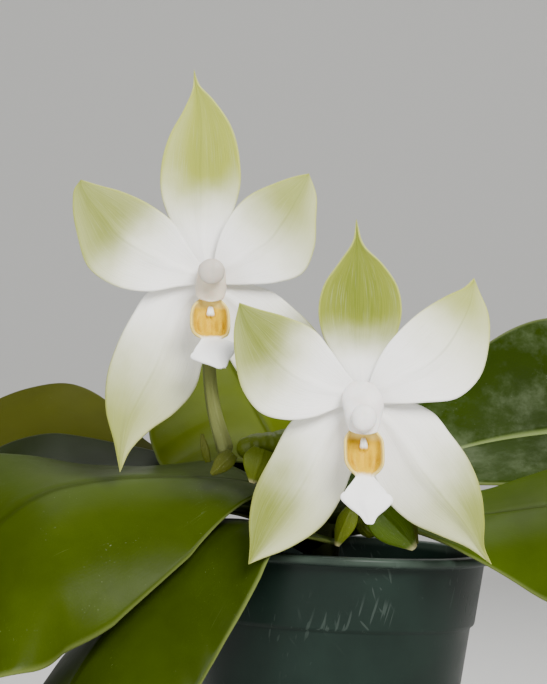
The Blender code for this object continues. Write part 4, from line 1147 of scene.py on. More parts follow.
def leaves() -> list[Leaf]:
    """The seven leaves of the plant."""
    return [
        Leaf(
            "leaf_1", 205, 10.0,
            [(-24, -13, 15.8), (-44, -19, 17), (-64, -23, 15.5), (-80, -27, 11), (-93, -32, 0),
             (-105, -37, -22), (-112, -40, -48)],
            left=[5, 8, 26, 44, 52, 53, 46, 30, 16],
            right=[5, 14, 27, 37, 42, 42, 37, 25, 14],
            left_angle=[25, 0, -22, -28, -26, -20, -15, -10, 0],
            right_angle=[30, 22, 8, 4, 8, 18, 20, 10, 0],
            left_curl=[-8, -18, -34, -46, -50, -42, -30, -15, 0],
            right_curl=[0, -6, -8, -4, 4, 6, 0, 0, 0],
            skin=LeafSkin("leaf_1_skin", (0.0322, 0.0517, 0.0005), (0.0210, 0.0338, 0.0003), dusty=0.9),
        ),
        Leaf(
            "leaf_2", 232, -1.0,
            [(-24, -17.5, 6.0), (-36, -24.5, 4.7), (-47, -31.5, -6), (-58, -39, -21), (-68, -46, -38),
             (-75, -51, -58)],
            left=[6, 27, 31, 34, 38, 39, 36, 26, 14],
            right=[5, 13, 17, 23, 28, 28, 27, 18, 10],
            left_angle=[12, 3, 1, -18, -24, -24, -20, -10, 0],
            right_angle=[20, 4, 0, -8, -14, -14, -14, -8, 0],
            left_curl=[0, -12, -10, -36, -38, -34, -26, -10, 0],
            right_curl=[0, -4, -14, -24, -24, -22, -18, -8, 0],
            skin=LeafSkin("leaf_2_skin", (0.0242, 0.0403, 0.0006), (0.0158, 0.0263, 0.0004), dusty=0.6),
        ),
        Leaf(
            "leaf_3", 140, 2.0,
            [(-26, 26, 9), (-46, 40, 11), (-66, 47, 14), (-90, 54, 18), (-118, 60, 13), (-140, 64, 2),
             (-154, 66, -10)],
            left=[4, 6, 8, 10, 13, 15, 14, 10, 6],
            right=[4, 7, 8, 15, 29, 33, 28, 18, 10],
            left_angle=[10, -20, -30, -34, -32, -26, -18, -8, 0],
            right_angle=[30, 34, 40, 46, 50, 44, 32, 16, 0],
            left_curl=[0, -8, -16, -20, -20, -16, -10, -4, 0],
            right_curl=[0, 0, 0, -6, -12, -14, -8, 0, 0],
            skin=LeafSkin(
                "leaf_3_skin", (0.0575, 0.0621, 0.0023), (0.0375, 0.0405, 0.0015), margin=(0.14, 0.14, 0.06),
                rough=0.5, dusty=0.3,
            ),
            slot="leaf_olive",
        ),
        Leaf(
            "leaf_4", 176, 6.5,
            [(-30, 7, 8.5), (-52, 11, 9.5), (-76, 14, 10), (-100, 14, 5), (-120, 11, -8), (-134, 8, -24)],
            left=[4, 10, 17, 24, 27, 25, 17, 9],
            right=[5, 20, 25, 30, 33, 31, 21, 11],
            left_angle=[20, 6, -14, -24, -26, -22, -12, 0],
            right_angle=[34, 40, 30, 30, 34, 24, 10, 0],
            left_curl=[0, -6, -14, -20, -20, -14, -8, 0],
            right_curl=[0, 0, -4, -8, -10, -6, 0, 0],
            # Its greens are darkened well below the other leaves' by painted shade, for the shade this leaf
            # lies in.
            skin=LeafSkin("leaf_4_skin_painted_shade", (0.0126, 0.0218, 0.0003), (0.0083, 0.0142, 0.0002), dusty=0.3),
        ),
        Leaf(
            "leaf_5", 110, 14.5,
            [(-16, 19, 23), (-25, 36, 36), (-33, 54, 48), (-39, 68, 55), (-42, 77, 57.5)],
            left=[5, 20, 32, 33, 26, 17, 11],
            right=[5, 16, 27, 29, 24, 16, 10],
            left_angle=[20, 4, -14, -14, -10, -4, 0],
            right_angle=[26, 16, 6, 2, 0, 0, 0],
            left_curl=[0, -12, -22, -20, -14, -6, 0],
            right_curl=[0, -6, -10, -12, -8, -4, 0],
            # Its greens are lightened well past the other leaves' by painted light, for the light that shines
            # through this leaf from behind.
            skin=LeafSkin("leaf_5_skin_painted_backlight", (0.0759, 0.1035, 0.0010), (0.0495, 0.0675, 0.0007), dusty=0.3),
        ),
        Leaf(
            "leaf_6", 30, 9.5,
            [(14, 17, 17), (34, 28, 26.5), (60, 35, 32.5), (88, 39, 35), (116, 41, 31), (140, 41, 20),
             (156, 41, 8)],
            left=[5, 14, 25, 37, 41, 39, 31, 20, 11],
            right=[5, 13, 21, 27, 29, 28, 23, 15, 8],
            left_angle=[30, 44, 58, 64, 58, 44, 28, 12, 0],
            right_angle=[24, -2, -16, -20, -18, -14, -8, -4, 0],
            left_curl=[0, -2, -6, -10, -12, -12, -6, 0, 0],
            right_curl=[0, -8, -14, -16, -14, -10, -6, 0, 0],
            # The pale midrib colour below is a painted highlight, where light catches the channel along the
            # midrib.
            skin=LeafSkin(
                "leaf_6_skin", (0.0184, 0.0345, 0.0021), (0.0120, 0.0225, 0.0014), dusty=1.0, grey=0.30,
                rib=(0.16, 0.21, 0.07), rib_strength=0.8,
            ),
        ),
        Leaf(
            "leaf_7", -22, 4.0,
            [(18, -13, 8), (38, -19, 11), (58, -23, 15), (84, -27, 16.5), (110, -29, 10), (132, -30, -7),
             (146, -30, -27)],
            left=[5, 12, 19, 28, 34, 34, 27, 17, 9],
            right=[5, 10, 21, 34, 44, 45, 37, 23, 12],
            left_angle=[26, 22, 24, 26, 22, 12, 4, 0, 0],
            right_angle=[20, 0, -16, -27, -24, -20, -14, -8, 0],
            left_curl=[0, -4, -6, -8, -8, -6, -4, 0, 0],
            right_curl=[0, -10, -24, -34, -34, -28, -18, -8, 0],
            skin=LeafSkin("leaf_7_skin", (0.0368, 0.0621, 0.0006), (0.0240, 0.0405, 0.0004), dusty=0.4),
        ),
    ]


# ---------------------------------------------------------------------------------------------------------
# Spikes
# ---------------------------------------------------------------------------------------------------------

@dataclass
class Bract:
    """A pointed scale: its foot and tip in millimetres above the rim, half width, facing side and bulge."""

    name: str
    foot: Point
    tip: Point
    half_width: float
    facing: Point
    bulge: float
    skin: GreenSkin
    thickness: float = 0.0009

    def surface(self) -> Surface:
        """A closed scale whose half width swells and closes, and whose middle bulges to its facing side.

        A keel runs along the middle: a narrow ridge added to the bulge.
        """
        foot, tip = above_rim([self.foot, self.tip])
        along = np.linspace(0.0, 1.0, 70)
        across = np.linspace(-1.0, 1.0, 41)
        facing = unit(np.array(self.facing))
        side = unit(np.cross(unit(tip - foot), facing))
        width = smooth_values([0.62, 0.92, 1.0, 0.84, 0.50, 0.12], along) * self.half_width * MM
        crest = np.sin(np.pi * (0.15 + 0.8 * along))[:, None]
        dome = (1 - across[None, :] ** 2) * 0.86 + 0.14 * np.exp(-(across / 0.10) ** 2)[None, :]
        bulge = self.bulge * MM * dome * crest
        line = foot + (tip - foot) * along[:, None]
        sideways = side * (width[:, None] * across[None, :])[..., None]
        grid = line[:, None, :] + sideways + facing * bulge[..., None]
        edge = np.clip((1 - np.abs(across)) * 8, 0, 1)[None, :]
        thickness = self.thickness * np.sqrt(1 - (1 - edge) ** 2 + 0.02) * np.ones((70, 1))
        values = {
            "along": np.repeat(along[:, None], 41, axis=1),
            "around": np.repeat(across[None, :], 70, axis=0),
        }
        return shell(grid, thickness, values)

    def build(self) -> None:
        """Make the scale."""
        add_piece(f"scale_{self.name}", self.surface(), self.skin.material(), [self.name])


@dataclass
class Spikes:
    """Two short fleshy spikes with their scales."""

    peduncle_radius: float = 0.0026
    rachis_radius: float = 0.0031
    gap: float = 0.0006
    # The stalks' dark green is darkened further by painted shade, for the shade they lie in.
    dark: GreenSkin = GreenSkin("spike_skin_painted_shade", (0.009, 0.015, 0.0004), (0.015, 0.022, 0.0005), rough=0.42)
    olive: GreenSkin = GreenSkin("rachis_skin", (0.044, 0.066, 0.0005), (0.070, 0.092, 0.001), rough=0.42)

    def bracts(self) -> list[Bract]:
        """The scales of both spikes."""
        olive = GreenSkin("old_scale_skin", (0.052, 0.064, 0.001), (0.062, 0.068, 0.003))
        fresh = GreenSkin(
            "fresh_scale_skin", (0.034, 0.064, 0.0008), (0.050, 0.086, 0.001), end=(0.34, 0.32, 0.16),
            rough=0.28,
        )
        lime = GreenSkin(
            "lime_scale_skin", (0.072, 0.098, 0.001), (0.095, 0.120, 0.002), end=(0.34, 0.31, 0.15)
        )
        rows = (
            (1, 1, (-35.8, -26.5, 22.5), (-37.8, -26.5, 29.8), 1.4, (-0.8, -0.6, 0.0), 1.2, olive),
            (1, 2, (-29.4, -31.2, 25.4), (-34.8, -32.0, 19.6), 2.4, (-0.2, -1.0, -0.3), 1.2, olive),
            (1, 3, (-21.4, -32.2, 26.8), (-24.0, -32.8, 18.0), 4.4, (0.1, -1.0, -0.1), 1.6, lime),
            (2, 1, (8.4, -39.6, 13.8), (19.6, -41.0, 3.4), 5.4, (0.3, -1.0, -0.2), 2.8, fresh),
            (2, 2, (3.0, -38.0, 12.6), (-0.6, -39.6, 2.8), 2.7, (-0.4, -1.0, 0.1), 1.6, lime),
            (2, 3, (14.6, -33.0, 13.0), (20.4, -34.4, 4.0), 3.6, (0.6, -0.8, 0.2), 1.6, olive),
        )
        return [Bract(f"spike_{spike}_bract_{number}", *rest) for spike, number, *rest in rows]

    def build(self, crown: Crown) -> None:
        """Peduncles, rachises and scales."""
        dark, olive = self.dark.material(), self.olive.material()
        reach = self.peduncle_radius + self.gap
        radii = [self.peduncle_radius * share for share in (0.96, 0.96, 1.05)]
        first = crown.beside(-84, 14.5, reach)
        first_route = [(-1.5, -12.5, 22.0), (-2.5, -19.0, 28.5), (-8.0, -24.5, 31.2)]
        second = crown.beside(-78, 8.0, reach)
        second_route = [(0.5, -14.0, 10.6), (3.0, -19.5, 11.0), (6.0, -26.0, 10.2)]
        for name, start, route in (("spike_1", first, first_route), ("spike_2", second, second_route)):
            points = np.vstack([[start], above_rim(route)])
            stalk = rod(points, radii, 80, 36, knobs=0.03, reference=(0.2, 1.0, 0.3))
            add_piece(f"stalk_of_{name}", stalk, dark, [f"{name}_peduncle"])
        first_route = [(-11.8, -26.4, 31.0), (-18.0, -27.4, 28.4), (-24.0, -27.4, 27.4), (-28.4, -26.6, 25.6)]
        second_route = [(7.0, -29.4, 9.4), (8.0, -33.0, 8.2), (9.5, -36.0, 9.4)]
        for name, route, shares in (
            ("spike_1", first_route, (0.96, 1.06, 1.06, 0.92)), ("spike_2", second_route, (0.96, 1.05, 0.78)),
        ):
            thick = [self.rachis_radius * share for share in shares]
            rachis = rod(above_rim(route), thick, 90, 40, knobs=0.06, reference=(0.1, 1.0, 0.2))
            add_piece(f"head_of_{name}", rachis, olive, [f"{name}_rachis"])
        for bract in self.bracts():
            bract.build()


# ---------------------------------------------------------------------------------------------------------
# Flowers
# ---------------------------------------------------------------------------------------------------------

class Whorl(Enum):
    """The two rings of tepals: petals in front, sepals behind."""

    PETAL = 1
    SEPAL = -1


@dataclass
class Tepal:
    """A petal or sepal: its edges in the flower's face from base to tip, in millimetres, and its depth.

    arch is how far the middle of its length comes forward, tip how far the tip does, cup how far the edges
    do, and fold how far the middle line stands out as a soft crease.
    """

    name: str
    whorl: Whorl
    left: list[tuple[float, float]]
    right: list[tuple[float, float]]
    arch: float
    tip: float
    cup: float
    skin: TepalSkin
    fold: float = 0.3
    thickness: float = 0.0008
    layer_gap: float = 0.0005
    rows: int = 150
    columns: int = 61

    def surface(self, flower: Flower) -> Surface:
        """The closed tepal between its two edges.

        A point at share s across lies s of the way from the left edge to the right. Its depth is a bow
        along (a half sine), a bow across (the square of the distance from the middle) and a soft crease.
        """
        along = graded(self.rows, 40, 0.122)
        across = np.linspace(0.0, 1.0, self.columns)
        left, right = smooth_curve(self.left, along), smooth_curve(self.right, along)
        face = left[:, None, :] * (1 - across)[None, :, None] + right[:, None, :] * across[None, :, None]
        layer = self.whorl.value * (self.thickness + self.layer_gap) / 2 / MM
        off = 2 * across - 1
        bow = np.sin(np.pi * along)[:, None]
        depth = layer + self.arch * bow + self.tip * along[:, None] ** 2 + self.cup * bow * off[None, :] ** 2
        depth = depth + self.fold * bow * np.exp(-(off / 0.16) ** 2)[None, :]
        depth = depth + 0.10 * bow * ripple(along[:, None] * 14, off[None, :] * 4, self.arch + self.tip)
        grid = flower.placed(np.concatenate([face, depth[..., None]], axis=2))
        to_edge = (1 - np.abs(off))[None, :] * np.ones((len(along), 1))
        span = np.linalg.norm(right - left, axis=1)[:, None]
        rounding = np.sqrt(np.clip(1 - (1 - np.clip(to_edge * span / 1.4, 0, 1)) ** 2, 0.02, 1))
        thickness = self.thickness * rounding * (0.85 + 0.15 * np.exp(-(off / 0.2) ** 2)[None, :])
        values = {
            "along": np.repeat(along[:, None], self.columns, axis=1),
            "across": np.repeat(across[None, :], len(along), axis=0),
            "margin": np.exp(-to_edge * span / 1.1),
        }
        return shell(grid, thickness, values)


@dataclass
class Flower:
    """A flower: its tepals, lip, column with its cap, and the stalk behind it.

    The lip's half widths, lifts and slants run from its hinge to its point. The column is a stack of
    sections from the top down: height, middle across, half width, and how far forward its back and front are.
    """

    name: str
    cap_middle: Point
    cap_radii: Point
    tepals: list[Tepal]
    lip_line: list[Point]
    lip_half_width: list[float]
    lip_lift: list[float]
    lip_slant: list[float]
    column: list[tuple[float, float, float, float, float]]
    pedicel: list[Point]
    cap_skin: ColumnSkin
    column_skin: ColumnSkin
    stalk_skin: GreenSkin
    lip_thickness: float = 0.0008
    pedicel_radius: float = 0.0017
    stalk_back: float = 4.8

    def placed(self, points: Sequence | Array) -> Array:
        """Points of the flower (across, up, forward, in millimetres) as metres in the frame.

        The middle of the flower is found from the middle of the cap's node.
        """
        points = np.asarray(points, dtype=float) * MM
        low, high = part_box(f"{self.name}_anther_cap")
        cap = (np.array(low) + np.array(high)) / 2
        across, up, forward = (part * MM for part in self.cap_middle)
        middle = cap - (across, -forward, up)
        return np.stack(
            [middle[0] + points[..., 0], middle[1] - points[..., 2], middle[2] + points[..., 1]], axis=-1
        )

    def lip(self) -> Surface:
        """The lip: a channel whose sides stand up as the side lobes, then a flat pointed middle lobe.

        Across it, the width follows a sine and the sides rise with the cube of the distance from the
        middle. Two small lumps and a ridge stand on the floor of the channel.
        """
        along = np.linspace(0.0, 1.0, 150)
        across = np.linspace(-1.0, 1.0, 81)
        line = smooth_curve(np.asarray(self.lip_line), along)
        half = smooth_values(self.lip_half_width, along)
        lift = smooth_values(self.lip_lift, along)
        grid = np.repeat(line[:, None, :], len(across), axis=1)
        reach = half[:, None] * np.sin(across * np.pi / 2)[None, :]
        grid[..., 0] += reach
        grid[..., 1] += reach * smooth_values(self.lip_slant, along)[:, None]
        grid[..., 2] += lift[:, None] * np.abs(across)[None, :] ** 3
        off = np.abs(across)[None, :]
        place = along[:, None]
        tooth = np.exp(-((place - 0.15) / 0.05) ** 2 - ((off - 0.55 * place + 0.035) / 0.05) ** 2)
        lobes = np.exp(-((place - 0.30) / 0.10) ** 2 - ((off - 0.34) / 0.13) ** 2)
        groove = np.exp(-((place - 0.34) / 0.09) ** 2 - (off / 0.07) ** 2)
        keel = np.exp(-((place - 0.80) / 0.14) ** 2 - (off / 0.22) ** 2)
        grid[..., 2] += 1.6 * tooth + 1.5 * lobes - 0.4 * groove + 0.6 * keel
        edge = np.clip((1 - np.abs(across)) * 9, 0, 1)[None, :] * np.ones((150, 1))
        thickness = self.lip_thickness * np.sqrt(1 - (1 - edge) ** 2 + 0.02)
        values = {
            "along": np.repeat(along[:, None], 81, axis=1),
            "across": np.repeat(across[None, :], 150, axis=0),
        }
        return shell(self.placed(grid), thickness, values)

    def column_surface(self) -> Surface:
        """The column: oval sections that follow smooth curves, closing in at both ends.

        Below the cap its front is hollowed along the middle, which leaves a flange down each side.
        """
        share = 0.5 - 0.5 * np.cos(np.pi * np.linspace(0.0, 1.0, 90))
        sections = np.stack([smooth_values(part, share) for part in zip(*self.column)], axis=1)
        height, middle, half_width, back, front = (part[:, None] for part in sections.T)
        end = np.minimum(share, 1 - share)[:, None]
        closing = np.sqrt(np.clip(1 - (1 - np.clip(end * 9, 0, 1)) ** 2, 0.002, 1))
        turn = np.linspace(0.0, 2 * np.pi, 72, endpoint=False)[None, :]
        x = half_width * closing * np.cos(turn)
        depth = (front + back) / 2 + (front - back) / 2 * closing * np.sin(turn)
        lower = np.clip(share[:, None] * 1.6 - 0.5, 0, 1)
        hollow = np.clip(np.sin(turn), 0, 1) * np.exp(-(np.cos(turn) / 0.5) ** 2) * lower
        depth = depth - 0.9 * hollow * closing
        loops = np.stack([middle + x, height + 0 * turn, depth], axis=2)
        along = np.repeat(share[:, None], 72, axis=1)
        return loft(self.placed(loops), {"along": along})

    def cap(self) -> Surface:
        """The cap: a flattened ball with a shallow furrow down its front."""
        tilt = np.linspace(-1.0, 1.0, 48)[:, None] * (math.pi / 2 - 0.02)
        turn = np.linspace(0.0, 2 * np.pi, 64, endpoint=False)[None, :]
        x = np.cos(tilt) * np.cos(turn)
        y = np.sin(tilt) + 0 * turn
        depth = np.cos(tilt) * np.sin(turn)
        furrow = 1 - 0.10 * np.exp(-(x / 0.16) ** 2) * np.clip(depth, 0, 1)
        reach = self.cap_radii
        ball = np.stack([x * reach[0], y * reach[1], depth * reach[2] * furrow], axis=2)
        return loft(self.placed(ball + np.array(self.cap_middle)), {})

    def build(self) -> None:
        """Every piece of the flower."""
        for tepal in self.tepals:
            node = f"{self.name}_{tepal.name}"
            add_piece(f"waxy_{node}", tepal.surface(self), tepal.skin.material(), [node])
        lip_skin = LipSkin(f"{self.name}_lip_skin")
        for piece, surface, skin, node, slot in (
            ("lobed_lip", self.lip(), lip_skin, "lip", "lip_yellow"),
            ("waxy_column", self.column_surface(), self.column_skin, "column", "column_white"),
            ("round_cap", self.cap(), self.cap_skin, "anther_cap", "column_white"),
        ):
            add_piece(f"{self.name}_{piece}", surface, skin.material(), [f"{self.name}_{node}"])
        route = np.array(self.pedicel)
        route[:, 2] -= self.stalk_back - 1.0
        radii = [self.pedicel_radius * share for share in (1.2, 1.25, 1.06, 1.06, 1.16, 1.4)]
        stalk = rod(self.placed(route), radii, 110, 36, ribs=6, rib_depth=0.05, reference=(1.0, 0.2, 0.1))
        node = f"{self.name}_pedicel"
        add_piece(f"{self.name}_ribbed_stalk", stalk, self.stalk_skin.material(), [node])


def pale_stalk(name: str) -> GreenSkin:
    """The pale ribbed skin of a flower's stalk."""
    return GreenSkin(name, (0.230, 0.255, 0.080), (0.170, 0.190, 0.055), rough=0.5, ribs=14.0)


def upper_left_flower() -> Flower:
    """The flower further back, which looks a little upwards."""
    pale = TepalSkin("a_dorsal_skin", start=0.22, full=0.56, band=0.60, reach=0.87, strength=0.48, tint=1.00)
    return Flower(
        "flower_a", (1.0, 2.9, 10.9), (3.5, 3.4, 1.6),
        tepals=[
            Tepal(
                "dorsal_sepal", Whorl.SEPAL,
                left=[(-1.6, 2.8), (-6.0, 8.5), (-11.3, 16.5), (-13.9, 24.0), (-14.1, 30.7), (-12.4, 38.5),
                      (-8.9, 45.9), (-6.9, 51.5), (-6.8, 56.7)],
                right=[(1.4, 2.8), (2.2, 10.0), (5.4, 18.4), (7.2, 26.5), (6.8, 32.4), (4.2, 41.5),
                       (-1.5, 49.2), (-5.2, 52.8), (-6.8, 56.7)],
                arch=-0.5, tip=-2.0, cup=1.2, skin=pale,
            ),
            Tepal(
                "petal_left", Whorl.PETAL,
                left=[(-0.9, -0.6), (-7.1, -1.4), (-15.7, -3.2), (-24.4, -2.2), (-31.8, 2.3), (-35.1, 10.2),
                      (-37.0, 19.4), (-36.8, 23.0), (-35.2, 25.6)],
                right=[(-0.9, 3.0), (-5.3, 8.8), (-10.1, 15.5), (-16.2, 19.7), (-24.3, 23.0), (-30.5, 24.4),
                       (-35.2, 25.6)],
                arch=1.8, tip=0.5, cup=0.8,
                skin=TepalSkin(
                    "a_petal_left_skin", start=0.36, full=0.68, band=0.50, reach=1.05, strength=0.71,
                ),
            ),
            Tepal(
                "petal_right", Whorl.PETAL,
                left=[(1.0, 3.2), (1.8, 10.0), (4.1, 16.5), (8.7, 22.8), (16.4, 27.3), (22.5, 29.7),
                      (25.3, 30.4)],
                right=[(1.0, -0.6), (10.7, 0.0), (18.6, 1.0), (24.9, 3.7), (27.7, 10.5), (27.8, 18.5),
                       (27.6, 24.5), (25.3, 30.4)],
                arch=1.8, tip=0.5, cup=0.8,
                skin=TepalSkin(
                    "a_petal_right_skin", start=0.38, full=0.76, band=0.35, reach=0.85, strength=0.57,
                ),
            ),
            Tepal(
                "lateral_sepal_left", Whorl.SEPAL,
                left=[(-0.5, -2.8), (-0.3, -11.0), (-0.5, -21.1), (-2.2, -28.6), (-7.0, -35.0),
                      (-13.7, -40.4), (-18.4, -45.8), (-20.8, -51.7)],
                right=[(-3.2, -0.6), (-9.5, -0.8), (-15.7, -3.2), (-19.8, -9.6), (-23.6, -18.0),
                       (-25.8, -26.7), (-25.5, -35.5), (-22.9, -43.6), (-20.8, -51.7)],
                arch=-0.8, tip=1.5, cup=-1.4, fold=0.7,
                skin=TepalSkin(
                    "a_lateral_left_skin", start=0.25, full=0.76, band=0.75, reach=0.95, strength=0.52,
                ),
            ),
            Tepal(
                "lateral_sepal_right", Whorl.SEPAL,
                left=[(3.2, -0.6), (9.5, 0.4), (16.5, -1.2), (23.2, -5.7), (29.5, -11.5), (33.8, -20.0),
                      (35.0, -29.0), (34.0, -37.5), (32.3, -45.3)],
                right=[(0.6, -2.8), (2.2, -9.0), (4.6, -15.8), (9.8, -24.3), (17.0, -30.0), (25.0, -35.0),
                       (29.8, -40.0), (32.3, -45.3)],
                arch=-0.8, tip=1.0, cup=-1.4, fold=0.7,
                skin=TepalSkin(
                    "a_lateral_right_skin", start=0.25, full=0.66, band=0.3, reach=0.95, strength=0.46,
                ),
            ),
        ],
        lip_line=[(0.9, -4.4, 3.2), (1.0, -6.0, 3.1), (1.2, -9.4, 3.6), (1.5, -13.0, 5.0), (1.8, -14.8, 7.4),
                  (2.2, -16.6, 10.4), (3.0, -18.6, 12.6), (4.2, -20.6, 14.2), (5.4, -22.2, 15.2)],
        lip_half_width=[2.4, 4.3, 4.9, 5.0, 4.9, 4.2, 2.4, 3.2, 4.6, 5.8, 4.4, 2.2, 0.7],
        lip_lift=[0.6, 4.0, 6.4, 7.4, 6.8, 4.0, 1.0, 0.5, 0.2, -0.5, -0.5, -0.3, 0.0],
        lip_slant=[0.0, 0.0, 0.0, 0.05, 0.3, 0.3, 0.3],
        column=[(5.4, 0.7, 2.6, 3.2, 6.4), (4.2, 0.8, 3.4, 2.9, 8.0), (2.2, 0.9, 3.8, 2.8, 8.7),
                (0.2, 0.9, 4.0, 2.8, 8.5), (-1.8, 0.9, 4.1, 3.0, 7.8), (-3.6, 0.9, 3.7, 4.6, 7.2),
                (-5.0, 0.9, 2.8, 5.8, 6.9)],
        pedicel=[(0.0, 0.0, -1.0), (0.0, -4.0, -8.0), (0.2, -12.0, -13.0), (1.0, -22.0, -13.0),
                 (2.8, -33.0, -9.5), (7.2, -45.8, -3.7)],
        cap_skin=ColumnSkin("a_cap_skin", white=(0.50, 0.46, 0.40), blush=(0.38, 0.32, 0.26)),
        column_skin=ColumnSkin("a_column_skin", white=(0.66, 0.58, 0.46), blush=(0.52, 0.44, 0.33)),
        stalk_skin=pale_stalk("a_stalk_skin"),
    )


def lower_right_flower() -> Flower:
    """The flower in front."""
    return Flower(
        "flower_b", (0.4, -4.2, 10.2), (3.3, 3.5, 1.6),
        tepals=[
            Tepal(
                "dorsal_sepal", Whorl.SEPAL,
                left=[(-1.6, 2.8), (-5.6, 8.0), (-11.2, 16.5), (-12.6, 22.5), (-11.7, 29.0), (-7.6, 36.0),
                      (-4.7, 41.0), (-4.0, 47.0)],
                right=[(1.6, 2.8), (4.6, 9.5), (8.2, 18.0), (9.0, 24.0), (7.6, 30.0), (3.6, 35.5),
                       (-1.8, 40.6), (-4.0, 47.0)],
                arch=0.5, tip=1.0, cup=1.4,
                skin=TepalSkin(
                    "b_dorsal_skin", start=0.16, full=0.48, band=0.48, reach=1.20, strength=0.92, tint=1.00,
                ),
            ),
            Tepal(
                "petal_left", Whorl.PETAL,
                left=[(-0.9, -0.6), (-6.1, -2.3), (-12.5, -5.0), (-19.5, -6.0), (-26.0, -4.6), (-30.9, 0.7),
                      (-33.5, 9.2), (-34.2, 17.0), (-33.2, 23.7)],
                right=[(-0.9, 3.0), (-4.6, 7.2), (-9.0, 12.8), (-13.1, 17.3), (-21.1, 20.7), (-28.5, 22.4),
                       (-33.2, 23.7)],
                arch=1.8, tip=1.0, cup=0.8,
                skin=TepalSkin(
                    "b_petal_left_skin", start=0.40, full=0.72, band=0.55, reach=1.05, strength=0.83,
                ),
            ),
            Tepal(
                "petal_right", Whorl.PETAL,
                left=[(1.0, 3.0), (2.4, 7.9), (4.6, 13.0), (8.2, 18.1), (13.6, 23.6), (20.4, 28.3),
                      (25.2, 31.0), (27.3, 33.3)],
                right=[(1.0, -0.6), (6.5, -0.5), (16.0, 0.3), (24.9, 2.2), (29.8, 7.3), (31.9, 15.5),
                       (31.5, 24.0), (28.6, 30.4), (27.3, 33.3)],
                arch=1.8, tip=0.0, cup=0.8,
                skin=TepalSkin(
                    "b_petal_right_skin", start=0.5, full=0.86, band=0.35, reach=1.05, strength=0.40,
                ),
            ),
            Tepal(
                "lateral_sepal_left", Whorl.SEPAL,
                left=[(-0.4, -3.0), (-0.9, -12.0), (-2.0, -19.5), (-4.3, -26.2), (-8.2, -32.8),
                      (-16.7, -39.3), (-25.0, -43.0), (-27.3, -44.1)],
                right=[(-3.2, -0.6), (-9.0, -0.8), (-14.0, -2.8), (-17.6, -6.0), (-22.6, -15.5),
                       (-27.0, -26.1), (-27.7, -33.2), (-27.2, -39.0), (-27.3, -44.1)],
                arch=-0.8, tip=1.5, cup=-1.4, fold=0.7,
                skin=TepalSkin(
                    "b_lateral_left_skin", start=0.25, full=0.71, band=0.74, reach=0.67, strength=0.86,
                ),
            ),
            Tepal(
                "lateral_sepal_right", Whorl.SEPAL,
                left=[(3.4, -0.6), (9.0, 0.2), (14.0, -0.2), (18.5, -2.2), (23.3, -7.4), (28.8, -14.4),
                      (32.1, -21.7), (33.5, -30.0), (33.8, -36.5), (35.8, -40.8)],
                right=[(0.6, -3.0), (1.9, -11.0), (4.0, -19.0), (7.8, -25.6), (14.1, -31.0), (22.1, -34.2),
                       (29.5, -36.9), (35.8, -40.8)],
                arch=-0.8, tip=1.5, cup=-1.4, fold=0.7,
                skin=TepalSkin(
                    "b_lateral_right_skin", start=0.30, full=0.78, band=0.22, reach=0.67, strength=0.75,
                ),
            ),
        ],
        lip_line=[(0.5, -7.4, 3.4), (0.7, -9.2, 3.2), (0.9, -12.0, 3.4), (1.1, -15.2, 4.6), (1.3, -17.4, 6.4),
                  (1.6, -20.4, 9.0), (2.0, -23.8, 11.2), (2.6, -27.8, 12.6), (3.2, -31.2, 13.2)],
        lip_half_width=[2.8, 4.6, 4.9, 4.9, 4.7, 3.7, 2.1, 3.2, 4.9, 6.5, 4.7, 2.0, 0.7],
        lip_lift=[0.6, 4.0, 6.0, 6.9, 6.4, 4.0, 1.0, 0.5, 0.2, -0.6, -0.6, -0.3, 0.0],
        lip_slant=[0.0, 0.0],
        column=[(5.2, -0.4, 1.8, 3.2, 4.2), (4.0, -0.3, 3.4, 3.0, 5.2), (2.2, -0.2, 4.8, 2.9, 6.4),
                (0.4, 0.0, 5.4, 2.9, 7.3), (-1.6, 0.2, 5.3, 3.1, 7.9), (-3.6, 0.3, 4.9, 3.6, 8.1),
                (-5.6, 0.4, 4.4, 4.8, 8.1), (-7.4, 0.5, 3.8, 6.2, 8.1), (-8.6, 0.6, 3.0, 7.1, 8.0)],
        pedicel=[(0.0, 0.0, -1.0), (0.6, -3.4, -5.4), (2.2, -10.0, -9.4), (3.6, -18.0, -11.6),
                 (4.2, -29.5, -13.0)],
        cap_skin=ColumnSkin("b_cap_skin"),
        column_skin=ColumnSkin("b_column_skin"),
        stalk_skin=pale_stalk("b_stalk_skin"),
    )


# ---------------------------------------------------------------------------------------------------------
# Studio
# ---------------------------------------------------------------------------------------------------------

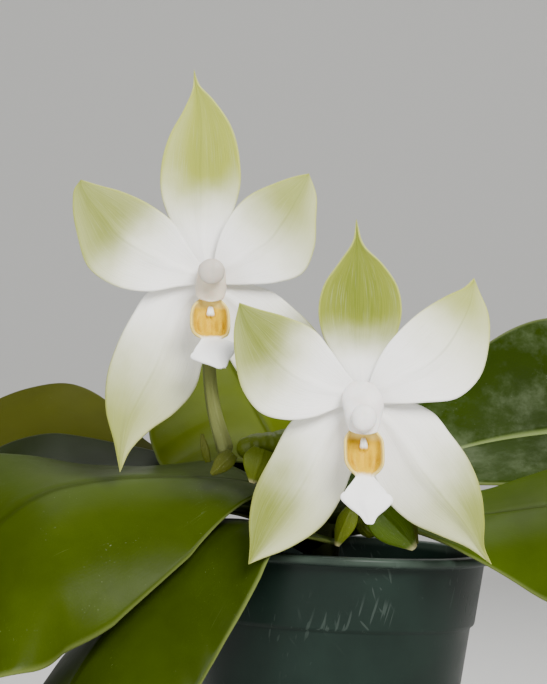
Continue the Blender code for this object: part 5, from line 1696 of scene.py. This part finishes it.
@dataclass
class Studio:
    """Pale floor that sweeps up behind, soft area lights and the camera."""

    camera_place: Point = (-0.0202, -0.852, 0.1447)
    camera_down: float = math.radians(0.5)
    camera_roll: float = math.radians(3.0)
    lens: float = 162.1
    sensor: float = 36.0
    sweep_start: float = 0.9
    sweep_radius: float = 0.5
    sweep_front: float = -2.5
    sweep_top: float = 2.5
    sweep_half_width: float = 3.0
    world_colour: Colour = (0.80, 0.82, 0.85)
    world_strength: float = 0.14
    aim: Point = (0.0, 0.0, 0.12)

    def floor(self) -> None:
        """A sweep: flat floor, then a quarter circle, then an upright wall."""
        turn = np.linspace(0.0, math.pi / 2, 16)
        flat = np.array([(self.sweep_front, 0.0), (self.sweep_start, 0.0)])
        quarter = np.stack([np.sin(turn), 1 - np.cos(turn)], axis=1)
        bend = (self.sweep_start, 0.0) + self.sweep_radius * quarter
        wall = np.array([(self.sweep_start + self.sweep_radius, self.sweep_top)])
        profile = np.concatenate([flat, bend[1:], wall])
        x = np.array([-self.sweep_half_width, self.sweep_half_width])
        grid = np.stack(np.broadcast_arrays(x[None, :], profile[:, :1], profile[:, 1:]), axis=2)
        mesh = bpy.data.meshes.new("studio_sweep")
        mesh.from_pydata(grid.reshape(-1, 3).tolist(), [], band(len(profile), 2, False).tolist())
        mesh.materials.append(StudioPaint().material())
        mesh.shade_smooth()
        sweep = bpy.data.objects.new("studio_sweep", mesh)
        bpy.context.scene.collection.objects.link(sweep)

    @staticmethod
    def light(name: str, place: Point, size: float, power: float, colour: Colour, aim: Point) -> None:
        """A square area light that looks at a point."""
        data = bpy.data.lights.new(name, "AREA")
        data.size = size
        data.energy = power
        data.color = colour
        lamp = bpy.data.objects.new(name, data)
        lamp.location = place
        lamp.rotation_euler = (Vector(aim) - Vector(place)).to_track_quat("-Z", "Y").to_euler()
        bpy.context.scene.collection.objects.link(lamp)

    def camera(self) -> None:
        """A long lens level with the flowers, turned a little about its own axis."""
        data = bpy.data.cameras.new("camera")
        data.lens = self.lens
        data.sensor_width = self.sensor
        data.clip_start = 0.01
        camera = bpy.data.objects.new("camera", data)
        tilt = Matrix.Rotation(math.pi / 2 - self.camera_down, 4, "X")
        roll = Matrix.Rotation(self.camera_roll, 4, "Z")
        camera.matrix_world = Matrix.Translation(self.camera_place) @ (tilt @ roll)
        bpy.context.scene.collection.objects.link(camera)
        bpy.context.scene.camera = camera

    def build(self) -> None:
        """Floor, world, lights and camera."""
        self.floor()
        world = bpy.data.worlds.new("studio_world")
        world.use_nodes = True
        background = world.node_tree.nodes["Background"]
        background.inputs["Color"].default_value = (*self.world_colour, 1.0)
        background.inputs["Strength"].default_value = self.world_strength
        bpy.context.scene.world = world
        self.light("key", (0.30, -0.80, 0.72), 0.45, 24.0, (1.0, 0.985, 0.96), self.aim)
        self.light("fill", (-0.70, -0.70, 0.34), 0.6, 6.0, (0.97, 0.98, 1.0), self.aim)
        self.light("top", (-0.15, 0.30, 0.90), 0.5, 4.0, (1.0, 1.0, 1.0), self.aim)
        self.camera()


def main() -> None:
    """Build the studio and every piece, in order."""
    logging.basicConfig(level=logging.INFO, format="%(name)s: %(message)s")
    Studio().build()
    pot = Pot()
    pot.build()
    BarkFill().build(pot)
    crown = Crown()
    crown.build()
    for leaf in leaves():
        leaf.build(crown)
    Spikes().build(crown)
    for flower in (upper_left_flower(), lower_right_flower()):
        flower.build()


if __name__ == "__main__":
    main()
